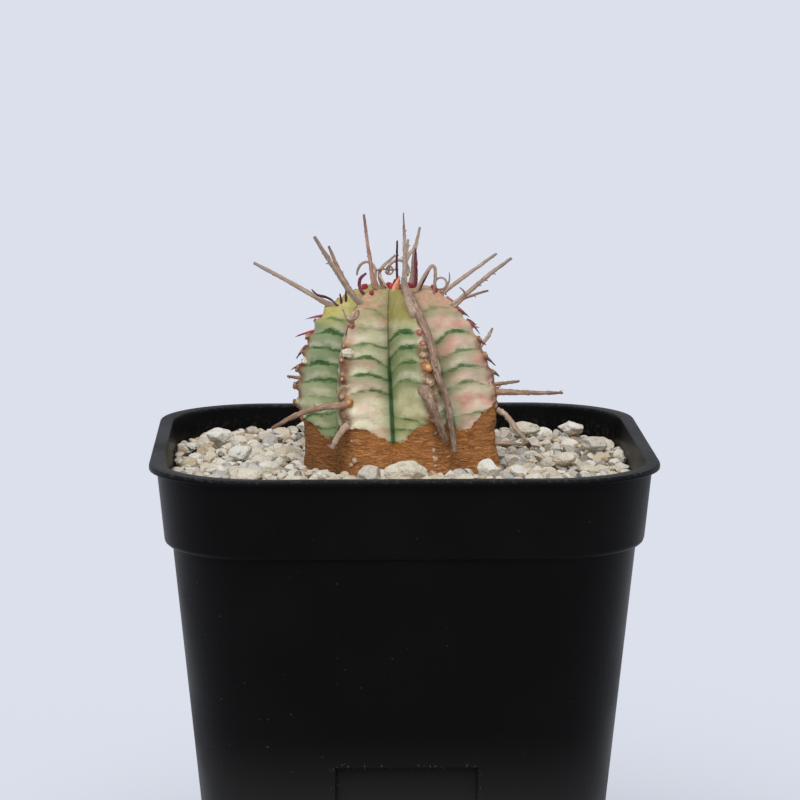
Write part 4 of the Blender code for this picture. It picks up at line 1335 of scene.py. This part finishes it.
def add_scars(rod, rings, count, seed, size):
    """Small pointed stumps that stand off the rod where bracts dropped off."""
    picks = random.Random(seed)
    made = []
    for number in range(count):
        share = picks.uniform(0.35, 0.95)
        place = share * (len(rings) - 1)
        low = min(int(place), len(rings) - 2)
        centre = rings[low][0].lerp(rings[low + 1][0], place - low)
        radius = rings[low][1] + (rings[low + 1][1] - rings[low][1]) * (place - low)
        direction = (rings[low + 1][0] - rings[low][0]).normalized()
        side = direction.orthogonal().normalized()
        side.rotate(Matrix.Rotation(picks.uniform(0, 2 * math.pi), 3, direction))
        lean = (side + direction * picks.uniform(0.2, 1.0)).normalized()
        height = size * picks.uniform(0.6, 1.5)
        clear_selection()
        bpy.ops.mesh.primitive_cone_add(
            vertices=7, radius1=radius * 0.55, radius2=radius * 0.12, depth=height,
            location=centre + side * radius * 0.6 + lean * height * 0.35,
            rotation=lean.to_track_quat("Z", "Y").to_euler())
        made.append(bpy.context.object)
    if not made:
        return rod
    clear_selection()
    for scar in made:
        scar.select_set(True)
    rod.select_set(True)
    bpy.context.view_layer.objects.active = rod
    bpy.ops.object.join()
    return bpy.context.object


def stalk_finish(name, foot, middle, tip, groove):
    """Dry fibre: long streaks that run with the rod, and three tones from foot to tip."""
    made, tree, shader = finish_of(name, middle, 0.8)
    along = attribute(tree, "along")
    colour = blend(tree, ramp_between(tree, along, 0.0, 0.22), foot, middle)
    colour = blend(tree, ramp_between(tree, along, 0.62, 0.97), colour, tip)
    patches = use_group(tree, mottle, Scale=1100.0, Detail=5.0, Low=0.42, High=0.66)
    colour = coat(tree, colour, patches, 0.38, groove)
    fibres = add_node(tree, "ShaderNodeTexNoise", {
        "Vector": attribute(tree, "fibre", "Vector"), "Scale": 5.0, "Detail": 3.0})
    streaks = ramp_between(tree, fibres.outputs[0], 0.40, 0.62)
    colour = coat(tree, colour, maths(tree, "SUBTRACT", 1.0, streaks), 0.45, groove)
    pale = ramp_between(tree, fibres.outputs[0], 0.52, 0.66)
    colour = coat(tree, colour, pale, 0.22, (0.66, 0.53, 0.42, 1))
    paint_all(tree, shader, colour)
    bump(tree, shader, streaks, 0.6, 0.00010)
    shader.inputs["Specular IOR Level"].default_value = 0.3
    return made


# Colours at the foot, half way and at the tip, then the colour of the cracks
stalk_colours = {
    "tipped": ((0.60, 0.46, 0.35), (0.54, 0.41, 0.315), (0.17, 0.035, 0.045), (0.28, 0.175, 0.115)),
    "magenta": ((0.34, 0.07, 0.10), (0.25, 0.035, 0.075), (0.11, 0.025, 0.05), (0.10, 0.018, 0.035)),
    "tan": ((0.62, 0.47, 0.36), (0.54, 0.41, 0.315), (0.34, 0.28, 0.245), (0.28, 0.175, 0.115)),
    "brown": ((0.56, 0.36, 0.23), (0.42, 0.265, 0.185), (0.22, 0.145, 0.11), (0.17, 0.085, 0.045)),
    "strand": ((0.42, 0.29, 0.205), (0.42, 0.28, 0.20), (0.40, 0.32, 0.25), (0.14, 0.070, 0.042)),
    "red": ((0.58, 0.33, 0.22), (0.52, 0.31, 0.23), (0.28, 0.17, 0.17), (0.28, 0.09, 0.08)),
    "black": ((0.05, 0.035, 0.030), (0.028, 0.020, 0.018), (0.05, 0.04, 0.04), (0.012, 0.008, 0.008)),
    "purple": ((0.19, 0.045, 0.065), (0.115, 0.025, 0.045), (0.055, 0.022, 0.035), (0.05, 0.012, 0.02)),
}
stalk_finishes = {name: stalk_finish("stalk_" + name, *((*paint, 1.0) for paint in paints))
                  for name, paints in stalk_colours.items()}
# Which finish, how wavy, how many scars
stalk_looks = {
    "stalk_left_long": ("tan", 0.30, 3), "stalk_front_left": ("tan", 0.15, 6),
    "stalk_back_left": ("brown", 0.30, 3), "stalk_tall_left": ("red", 0.25, 5),
    "stalk_tall_centre": ("tipped", 0.15, 5), "stalk_slender": ("purple", 0.35, 4),
    "stalk_tall_back": ("tan", 0.50, 3), "stalk_magenta": ("magenta", 0.10, 2),
    "stalk_back_right": ("tan", 0.30, 3), "stalk_right": ("tan", 0.30, 6),
    "stalk_right_short": ("brown", 0.40, 3), "stalk_right_level": ("brown", 0.40, 2),
    "stalk_back_right_level": ("brown", 0.40, 2), "twig_jointed": ("tan", 1.0, 4),
    "twig_low_right": ("brown", 0.9, 3), "stalk_left_low": ("brown", 0.60, 3),
    "stub_left_low": ("tan", 0.4, 1), "stalk_back_left_level": ("brown", 0.40, 2),
    "twig_left_dark": ("purple", 0.5, 0), "stalk_back_high": ("tan", 0.3, 5),
    "stalk_back_level": ("brown", 0.4, 3), "stalk_back_right_side": ("tan", 0.4, 4),
    "stalk_back_left_low": ("brown", 0.5, 3), "stalk_draped": ("strand", 0.35, 7),
    "stalk_knobbed": ("strand", 0.4, 2), "stub_front": ("tan", 0.3, 1),
}


def mark_length(rod, rings):
    """Stores how far each point lies from the foot to the tip, and where round the rod."""
    centres = np.array([ring[0] for ring in rings])
    lengths = np.concatenate([[0], np.cumsum(np.linalg.norm(np.diff(centres, axis=0), axis=1))])
    shares, fibres = [], []
    for vertex in rod.data.vertices:
        nearest = int(np.argmin(np.linalg.norm(centres - np.array(vertex.co), axis=1)))
        low = max(min(nearest, len(rings) - 2), 0)
        step = rings[low + 1][0] - rings[low][0]
        part = (vertex.co - rings[low][0]).dot(step) / step.length_squared
        at = lengths[low] + part * step.length
        shares.append(min(max(at / lengths[-1], 0.0), 1.0))
        side = step.cross(Vector((0.3, 1.0, 0.2))).normalized()
        offset = vertex.co - rings[low][0] - part * step
        fibres += [offset.dot(side) / mm, offset.dot(side.cross(step.normalized())) / mm,
                   at / mm * 0.10]
    set_value(rod, "along", shares)
    made = rod.data.attributes.new("fibre", "FLOAT_VECTOR", "POINT")
    made.data.foreach_set("vector", fibres)


def finish_rod(rod, rings, finish, slot, *nodes):
    mark_length(rod, rings)
    rod.data.materials.clear()
    rod.data.materials.append(finish)
    activate(rod)
    bpy.ops.object.shade_smooth_by_angle(angle=math.radians(50))
    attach(rod, "root")
    if nodes:
        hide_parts(*nodes)


node_slots = {row["node"]: row["material_slot"] for row in frame["record"]["subparts"]}
thicker = {"stalk_draped": 1.18, "stalk_knobbed": 1.18, "stalk_left_low": 1.32, "stub_left_low": 1.18,
           "twig_jointed": 1.40}
# The dark bract on the left is bent, with a swelling half way: places over the gravel, girths, in mm
dark_bract = ((-9.1, -1.8, 23.2, 0.30), (-9.7, -1.9, 23.95, 0.28), (-10.4, -2.0, 24.35, 0.28),
              (-11.0, -2.0, 24.55, 0.44), (-11.5, -2.0, 24.65, 0.34), (-12.0, -2.0, 24.85, 0.26),
              (-12.6, -2.0, 25.55, 0.18))
for number, (name, (look, waviness, scars)) in enumerate(sorted(stalk_looks.items())):
    rings = straight_rings(name)
    if name == "twig_left_dark":
        rings = [(over_gravel(x, y, z), girth / 2 * mm) for x, y, z, girth in dark_bract]
    if name in thicker:
        rings = [(middle, radius * thicker[name]) for middle, radius in rings]
    taper_end = 0.35 if name in ("stalk_tall_centre", "stalk_magenta") else 0.8
    sink = 1.2 * mm if name in ("stalk_tall_centre", "stalk_front_left") else 0.7 * mm
    knobbliness = 0.38 if look == "strand" or name == "twig_jointed" else 0.18
    rod = grow_rod(name + "_dried", rings, sink, waviness, taper_end, number, knobbliness)
    rod = add_scars(rod, rings, scars, number, 0.45 * mm)
    finish_rod(rod, rings, stalk_finishes[look], node_slots[name], name)

# A black, shrivelled bud clings to the end of the jointed twig
twig_tip = straight_rings("twig_jointed")[-1][0]
for number, (heading, rise) in enumerate(((-80, 10), (70, -15), (10, -60), (-20, 65), (95, 40))):
    direction = Vector((math.sin(math.radians(heading)) * math.cos(math.radians(rise)), -0.3,
                        math.sin(math.radians(rise)))).normalized()
    rings = [(twig_tip + direction * share * 0.5 * mm, (0.26 - 0.12 * share) * mm)
             for share in (0.0, 0.35, 0.7, 1.0)]
    scale = grow_rod(f"dry_bud_scale_{number + 1}", rings, 0.15 * mm, 0.4, 0.4, number + 90)
    finish_rod(scale, rings, stalk_finishes["black"], "dry_stalk")

# ---- Curled bract stalks --------------------------------------------------------------
# Thin bract stalks that curled up as they dried stand in a tangle round the growing tip. They are
# the same dry fibre as the flower stalks, and each keeps its foot in the skin.
curl_paths = {
    "curl_left": ((-3.3, -2.0, 25.4), (-3.7, -2.0, 26.8), (-3.5, -1.0, 28.2), (-4.2, -0.4, 29.1),
                  (-5.2, 0.0, 29.3), (-6.1, 0.0, 28.4), (-6.2, 0.0, 27.3)),
    "curl_red": ((-4.9, -3.0, 24.6), (-5.8, -3.0, 25.5), (-6.0, -3.0, 26.6), (-5.7, -3.0, 27.4),
                 (-4.9, -3.0, 27.9)),
    "curl_centre": ((-2.6, -1.6, 25.6), (-3.2, -1.4, 27.2), (-2.9, -1.2, 28.3), (-1.9, -1.0, 29.3),
                    (-0.8, -1.0, 30.2)),
    "curl_right": ((2.2, -3.0, 25.4), (2.8, -3.0, 26.8), (3.7, -3.0, 28.3), (4.4, -3.0, 29.1),
                   (4.8, -3.0, 28.6), (4.8, -3.0, 27.2), (4.6, -3.0, 25.1)),
}
ring_path = [(5.0, -2.2, 24.9)]
for step in range(11):
    turn = math.radians(215 - 33 * step)
    ring_path.append((5.6 + 0.85 * math.cos(turn), -2.0 - 0.03 * step, 26.35 + 0.85 * math.sin(turn)))
curl_paths["ring_right"] = ring_path
curl_girths = {"curl_left": 0.40, "curl_red": 0.50, "curl_centre": 0.44, "curl_right": 0.50,
               "ring_right": 0.30}
curl_names = ("curl_left", "curl_red", "curl_centre", "curl_right", "curl_back", "ring_right")
for number, name in enumerate(curl_names):
    if name in curl_paths:
        rings = [(over_gravel(*place), curl_girths[name] / 2 * mm) for place in curl_paths[name]]
    else:
        rings = curled_rings(name)
    rod = grow_rod(name + "_dried", rings, 0.35 * mm, 0.5, 0.6, number + 40)
    look = "magenta" if name == "curl_red" else "tan"
    finish_rod(rod, rings, stalk_finishes[look], node_slots[name], name)

# ---- Areoles and teeth ----------------------------------------------------------------
# Each swelling on a crest ends in a small corky cushion with a horny tooth: slender, red and
# black-tipped on the young rows near the top, worn to brown stumps lower down.
cushion_finish, tree, shader = finish_of("areole_cork", (0.30, 0.12, 0.05, 1), 0.8)
patch = use_group(tree, mottle, Scale=1500.0, Detail=4.0, Low=0.38, High=0.62)
ring_colour = blend(tree, patch, (0.13, 0.045, 0.022, 1), (0.46, 0.19, 0.055, 1))
ring_colour = blend(tree, attribute(tree, "young"), ring_colour, (0.46, 0.12, 0.085, 1))
ring_colour = blend(tree, attribute(tree, "fresh_cork"), ring_colour, (0.68, 0.27, 0.050, 1))
paint_all(tree, shader, blend(tree, attribute(tree, "centre"), ring_colour, (0.66, 0.52, 0.36, 1)))
bump(tree, shader, patch, 0.7, 0.00020)
tooth_finish, tree, shader = finish_of("tooth_horn", (0.20, 0.03, 0.04, 1), 0.5)
tooth_colour = blend(tree, attribute(tree, "young"), (0.115, 0.060, 0.040, 1), (0.36, 0.035, 0.055, 1))
tooth_colour = blend(tree, ramp_between(tree, attribute(tree, "along"), 0.35, 0.9), tooth_colour,
                     (0.030, 0.020, 0.026, 1))
paint_all(tree, shader, tooth_colour)


def crest_frame(rib, level):
    """A point on the crest and the way out of the skin there."""
    point = stem_point(rib, level)
    outward = (stem_point(rib, level, 1 * mm) - point).normalized()
    return point, outward


def joined(parts, name):
    clear_selection()
    for part in parts:
        part.select_set(True)
    bpy.context.view_layer.objects.active = parts[0]
    bpy.ops.object.join()
    made = bpy.context.object
    made.name = name
    settle(made)
    return made


def add_cushion(rib, level, radius, young, bleached, seed, fresh=0.0):
    """A round cork cushion with a raised ring and a pale scar in its middle."""
    point, outward = crest_frame(rib, level)
    clear_selection()
    bpy.ops.mesh.primitive_uv_sphere_add(segments=18, ring_count=12, radius=1.0, location=(0, 0, 0))
    cushion = bpy.context.object
    middles = []
    for vertex in cushion.data.vertices:
        place = vertex.co.copy()
        reach = math.hypot(place.x, place.y)
        uneven = 1 + (0.30 + 0.5 * bleached) * noise.noise(place * 1.4 + Vector((seed, 0, 0)))
        scar = ease((0.55 - reach) / 0.25) if place.z > 0 else 0.0
        middles.append(max(scar * (1 - 0.6 * young), 0.75 * bleached))
        height = place.z * 0.55 - 0.22 * ease((0.75 - reach) / 0.35) * (place.z > 0) + 0.20 * scar
        vertex.co = Vector((place.x * uneven, place.y * uneven, height * uneven)) * radius
    set_value(cushion, "centre", middles)
    set_value(cushion, "young", [young] * len(middles))
    set_value(cushion, "fresh_cork", [fresh] * len(middles))
    cushion.rotation_euler = outward.to_track_quat("Z", "Y").to_euler()
    cushion.location = point + outward * radius * 0.08
    cushions.append(cushion)


def add_tooth(rib, level, length, thickness, heading, rise, young, seed):
    """A tapering horny tooth that leaves the crest on a heading and hooks down a little."""
    point = stem_point(rib, level)
    flat = math.cos(math.radians(rise))
    lean = Vector((flat * math.sin(math.radians(heading)), -flat * math.cos(math.radians(heading)),
                   math.sin(math.radians(rise))))
    rings = []
    for step in range(6):
        share = step / 5
        bent = point + lean * length * share + Vector((0, 0, -0.16)) * length * share ** 2
        rings.append((bent, thickness * (1 - 0.85 * share) / 2))
    tooth = grow_rod(f"tooth_{len(teeth)}", rings, 0.25 * mm, 0.4, 0.3, seed)
    mark_length(tooth, rings)
    set_value(tooth, "young", [young] * len(tooth.data.vertices))
    teeth.append(tooth)


cushions, teeth = [], []
tooth_dice = random.Random(5)
# Teeth that stand out to the left and right: rib, level, length in mm, heading, rise and how young
profile_teeth = (
    (0.0, 0.815, 2.4, -88, -2, 1.0), (0.0, 0.735, 2.6, -86, -8, 1.0), (0.0, 0.650, 2.0, -84, -46, 0.2),
    (0.0, 0.560, 1.8, -82, -18, 0.1), (0.0, 0.462, 0.8, -84, -20, 0.0), (3.0, 0.865, 2.2, 70, -26, 0.6),
    (3.04, 0.872, 1.3, 84, -50, 0.2), (3.0, 0.785, 1.9, 66, -44, 0.5), (3.04, 0.795, 1.3, 84, -20, 0.1),
    (3.0, 0.690, 0.9, 70, -25, 0.3), (3.0, 0.605, 1.5, 68, -34, 0.1), (3.03, 0.525, 0.8, 72, -30, 0.0),
    (1.0, 0.790, 1.3, -40, -60, 1.0), (2.0, 0.860, 0.9, 20, 10, 1.0),
)
for number, (rib, level, length, heading, rise, young) in enumerate(profile_teeth):
    add_tooth(rib, level, length * mm, (0.46 + 0.05 * (number % 3)) * mm, heading, rise, young, number)
# Cushions on the two front ribs: rib, level, radius in mm, how young and how bleached
front_cushions = (
    (1.03, 0.795, 0.52, 1.0, 0.0), (1, 0.695, 0.30, 0.6, 0.0), (1, 0.625, 0.38, 0.2, 0.2),
    (1, 0.530, 0.48, 0.0, 0.0), (1, 0.440, 0.34, 0.0, 0.6), (1.05, 0.415, 0.66, 0.0, 0.0),
    (1, 0.283, 0.52, 0.0, 0.3), (1.03, 0.205, 0.26, 0.0, 0.5), (1.02, 0.105, 0.36, 0.0, 0.9),
    (0.99, 0.080, 0.30, 0.0, 0.7), (2, 0.860, 0.34, 1.0, 0.0), (2, 0.770, 0.42, 0.9, 0.0),
    (2, 0.715, 0.48, 0.8, 0.0), (2, 0.662, 0.56, 0.1, 0.5), (2, 0.600, 0.74, 0.0, 0.0),
    (2, 0.520, 0.50, 0.0, 0.6), (2, 0.485, 0.60, 0.0, 0.0), (2, 0.400, 0.50, 0.3, 0.0),
    (2, 0.330, 0.44, 0.0, 0.2), (2.01, 0.255, 0.26, 0.0, 0.5), (1.985, 0.165, 0.30, 0.0, 0.8),
    (2.02, 0.120, 0.40, 0.0, 0.9), (1.99, 0.085, 0.26, 0.0, 0.6),
)
# The largest cushions have cracked and show fresh cork
for number, (rib, level, radius, young, bleached) in enumerate(front_cushions):
    aside = rib + tooth_dice.uniform(-0.02, 0.02)
    fresh = 0.6 if radius > 0.65 else 0.0
    add_cushion(aside, level, radius * mm, young, bleached, number, fresh)
for rib in (0, 3, 4, 5, 6):
    for row, band in enumerate(row_levels):
        level = band - 0.012 + row_shift(rib)
        if level < flank_cork.get((rib, 1), plain_cork)[0] - 0.06 or level > 0.93:
            continue
        young = ease((level - 0.66) / 0.16)
        aside = rib + tooth_dice.uniform(-0.025, 0.025)
        radius = tooth_dice.uniform(0.32, 0.54) * (1 - 0.35 * young)
        add_cushion(aside, level, radius * mm, young, 0.3 * tooth_dice.random(), rib * 20 + row)
        if rib < 4:
            continue
        length = tooth_dice.uniform(0.9, 2.2) if level > 0.5 else tooth_dice.uniform(0.3, 0.9)
        if length > 0.6:
            heading = math.degrees(rib_heading(rib, level)) + tooth_dice.uniform(-14, 14)
            add_tooth(aside, level, length * mm, tooth_dice.uniform(0.38, 0.54) * mm, heading,
                      tooth_dice.uniform(-45, 5), young, rib * 20 + row)
areoles = joined(cushions, "rib_areoles")
dress(areoles, cushion_finish)
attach(areoles, "root")
rib_teeth = joined(teeth, "rib_teeth")
dress(rib_teeth, tooth_finish)
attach(rib_teeth, "root")

# ---- Growing tip ----------------------------------------------------------------------
# Young red buds press together at the top of each rib. They are living tissue, smooth and a
# little waxy, and grow straight out of the skin.
bud_finish, tree, shader = finish_of("bud_red", (0.42, 0.03, 0.04, 1), 0.4)
patch = use_group(tree, mottle, Scale=1500.0, Detail=3.0, Low=0.35, High=0.65)
paint_all(tree, shader, blend(tree, patch, (0.24, 0.006, 0.022, 1), (0.48, 0.045, 0.045, 1)))
bud_rows = (
    (1.42, 0.990, 0.66), (1.95, 0.992, 0.62), (2.62, 0.985, 0.60), (0.2, 0.975, 0.45),
    (4.1, 0.985, 0.50), (5.0, 0.985, 0.55), (6.0, 0.985, 0.50), (1.1, 0.955, 0.36),
    (2.05, 0.955, 0.42), (3.0, 0.950, 0.40), (3.95, 0.945, 0.42), (5.1, 0.950, 0.40),
)
buds = []
for number, (rib, level, size) in enumerate(bud_rows):
    point, outward = crest_frame(rib, level)
    clear_selection()
    bpy.ops.mesh.primitive_ico_sphere_add(subdivisions=3, radius=size * mm, location=(0, 0, 0))
    bud = bpy.context.object
    for vertex in bud.data.vertices:
        vertex.co *= 1 + 0.34 * noise.noise(vertex.co / (size * mm) * 1.6 + Vector((number, 0, 0)))
        vertex.co.x *= 0.8
        vertex.co.z *= 1.2 - 0.35 * vertex.co.z / (size * mm)
    bud.rotation_euler = (outward + Vector((0, 0, 0.8))).to_track_quat("Z", "Y").to_euler()
    bud.location = point + outward * 0.25 * mm
    buds.append(bud)
tip_buds = joined(buds, "tip_buds")
dress(tip_buds, bud_finish)
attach(tip_buds, "root")

# ---- Bracts in the crown --------------------------------------------------------------
# Shrivelled bracts and stalk ends crowd round the buds: thin strips of dry fibre, bent and
# hooked. Each row gives its places over the gravel in mm, then its thickness and its finish.
crown_strands = (
    (((-3.6, -1.6, 28.2), (-2.4, -1.8, 28.4), (-1.2, -1.8, 28.2), (-0.4, -1.6, 28.3)), 0.30, "brown"),
    (((-3.1, -2.0, 27.4), (-2.4, -2.2, 26.4), (-1.4, -2.6, 25.0)), 0.40, "tan"),
    (((-2.2, -2.2, 27.9), (-1.6, -2.4, 27.6), (-1.1, -2.2, 28.1), (-1.5, -2.0, 28.9),
      (-2.2, -2.0, 28.7), (-2.1, -2.2, 27.9)), 0.30, "brown"),
    (((2.0, 1.0, 31.0), (1.2, 0.6, 30.4), (0.6, 0.2, 29.2), (0.8, -0.4, 27.0)), 0.55, "tan"),
    (((2.6, -2.4, 25.4), (3.2, -2.4, 26.6), (4.0, -2.4, 28.2)), 0.34, "purple"),
    (((7.5, -6.0, 23.6), (8.3, -6.0, 24.3), (8.8, -6.0, 25.0), (8.8, -6.0, 25.7),
      (8.1, -6.0, 26.2)), 0.40, "brown"),
    (((-7.3, -9.6, 21.8), (-7.9, -10.2, 22.6), (-8.4, -10.4, 23.8)), 0.42, "tan"),
    (((-7.0, -9.8, 21.8), (-7.0, -10.6, 22.8), (-6.4, -10.8, 23.7)), 0.42, "tan"),
    (((-7.4, -10.0, 22.0), (-6.7, -10.8, 22.3), (-6.0, -10.6, 23.0), (-6.1, -10.2, 23.6)), 0.46,
     "brown"),
    (((-7.9, -10.0, 22.6), (-7.2, -10.7, 22.2), (-6.6, -10.6, 22.6)), 0.42, "tan"),
    (((-8.3, -1.6, 22.8), (-8.5, -1.6, 23.9), (-8.6, -1.6, 24.9)), 0.46, "purple"),
    (((-7.7, -1.6, 23.0), (-7.9, -1.6, 24.4), (-7.8, -1.6, 25.6)), 0.42, "purple"),
    (((0.6, -2.0, 25.6), (0.2, -1.0, 27.2), (0.8, 0.4, 28.4)), 0.34, "tan"),
    (((6.0, 2.4, 24.6), (7.2, 3.0, 26.2), (7.0, 4.0, 27.2)), 0.34, "brown"),
    (((-3.0, 5.4, 25.0), (-3.8, 6.6, 26.6), (-3.0, 7.4, 27.4)), 0.36, "tan"),
    (((1.6, 6.6, 24.8), (2.2, 7.8, 26.3), (1.4, 8.6, 26.9)), 0.34, "brown"),
)
for number, (places, thickness, look) in enumerate(crown_strands):
    rings = []
    for step, place in enumerate(places):
        radius = thickness / 2 * (1 - 0.35 * step / (len(places) - 1)) * mm
        rings.append((over_gravel(*place), radius))
    strand = grow_rod(f"crown_strand_{number + 1}", rings, 0.3 * mm, 0.7, 0.5, number + 60)
    finish_rod(strand, rings, stalk_finishes[look], "dry_stalk")

# The coral bract beside the middle bud is still fresh
clear_selection()
bpy.ops.mesh.primitive_cone_add(vertices=16, radius1=0.75 * mm, radius2=0.12 * mm, depth=2.6 * mm,
                                location=(0, 0, 0))
bract = bpy.context.object
bract.name = "coral_bract"
enter_edit(bract)
bpy.ops.mesh.select_all(action="SELECT")
bpy.ops.mesh.subdivide(number_cuts=4)
bpy.ops.transform.resize(value=(1, 0.6, 1))
leave_edit()
for vertex in bract.data.vertices:
    swell = 1 + 0.5 * math.sin(math.pi * (vertex.co.z / (2.6 * mm) + 0.5))
    vertex.co.x = vertex.co.x * swell + 0.5 * mm * (vertex.co.z / (1.3 * mm)) ** 2 * 0.4
    vertex.co.y *= swell
bract.rotation_euler = Vector((0.30, -0.15, 1.0)).to_track_quat("Z", "Y").to_euler()
bract.location = (-0.7 * mm, -3.4 * mm, gravel_height + 26.3 * mm)
settle(bract)
coral, tree, shader = finish_of("coral_bract", (0.78, 0.26, 0.16, 1), 0.5)
patch = use_group(tree, mottle, Scale=900.0, Detail=3.0, Low=0.35, High=0.65)
paint_all(tree, shader, blend(tree, patch, (0.80, 0.24, 0.14, 1), (0.80, 0.45, 0.28, 1)))
dress(bract, coral)
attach(bract, "root")

# ---- Perlite crumb --------------------------------------------------------------------
# A white, frothy crumb of expanded volcanic glass, such as is mixed into the soil. It has caught
# on the front left rib and lies there loose.
crumb_low, crumb_high = (Vector(corner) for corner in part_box("perlite_crumb"))
crumb_middle = (crumb_low + crumb_high) / 2
crumb_radius = (crumb_high.z - crumb_low.z) / 2
clear_selection()
bpy.ops.mesh.primitive_ico_sphere_add(subdivisions=4, radius=crumb_radius, location=(0, 0, 0))
crumb = bpy.context.object
crumb.name = "perlite_grain"
for vertex in crumb.data.vertices:
    place = vertex.co / crumb_radius
    lump = 0.34 * noise.noise(place * 1.5 + Vector((4, 1, 7))) + 0.12 * noise.noise(place * 5)
    vertex.co = vertex.co * (1 + lump) + crumb_middle
    vertex.co.x += (vertex.co.x - crumb_middle.x) * 0.2
perlite, tree, shader = finish_of("perlite", (0.82, 0.79, 0.66, 1), 0.9)
froth = use_group(tree, mottle, Scale=3500.0, Detail=4.0, Low=0.35, High=0.65)
paint_all(tree, shader, blend(tree, froth, (0.84, 0.79, 0.62, 1), (0.60, 0.52, 0.36, 1)))
bump(tree, shader, froth, 0.7, 0.00012)
dress(crumb, perlite)
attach(crumb, "root")
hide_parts("perlite_crumb")

# A smaller white chip sits on the left rib
chip_place, chip_outward = crest_frame(0.06, 0.585)
clear_selection()
bpy.ops.mesh.primitive_cone_add(vertices=5, radius1=0.55 * mm, radius2=0.08 * mm, depth=0.9 * mm,
                                location=(0, 0, 0))
chip = bpy.context.object
chip.name = "perlite_chip"
enter_edit(chip)
bpy.ops.mesh.select_all(action="SELECT")
bpy.ops.mesh.subdivide(number_cuts=3, smoothness=0.4)
leave_edit()
for vertex in chip.data.vertices:
    vertex.co *= 1 + 0.2 * noise.noise(vertex.co / mm * 2.5)
chip.location = chip_place + chip_outward * 0.15 * mm
settle(chip)
dress(chip, perlite)
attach(chip, "root")
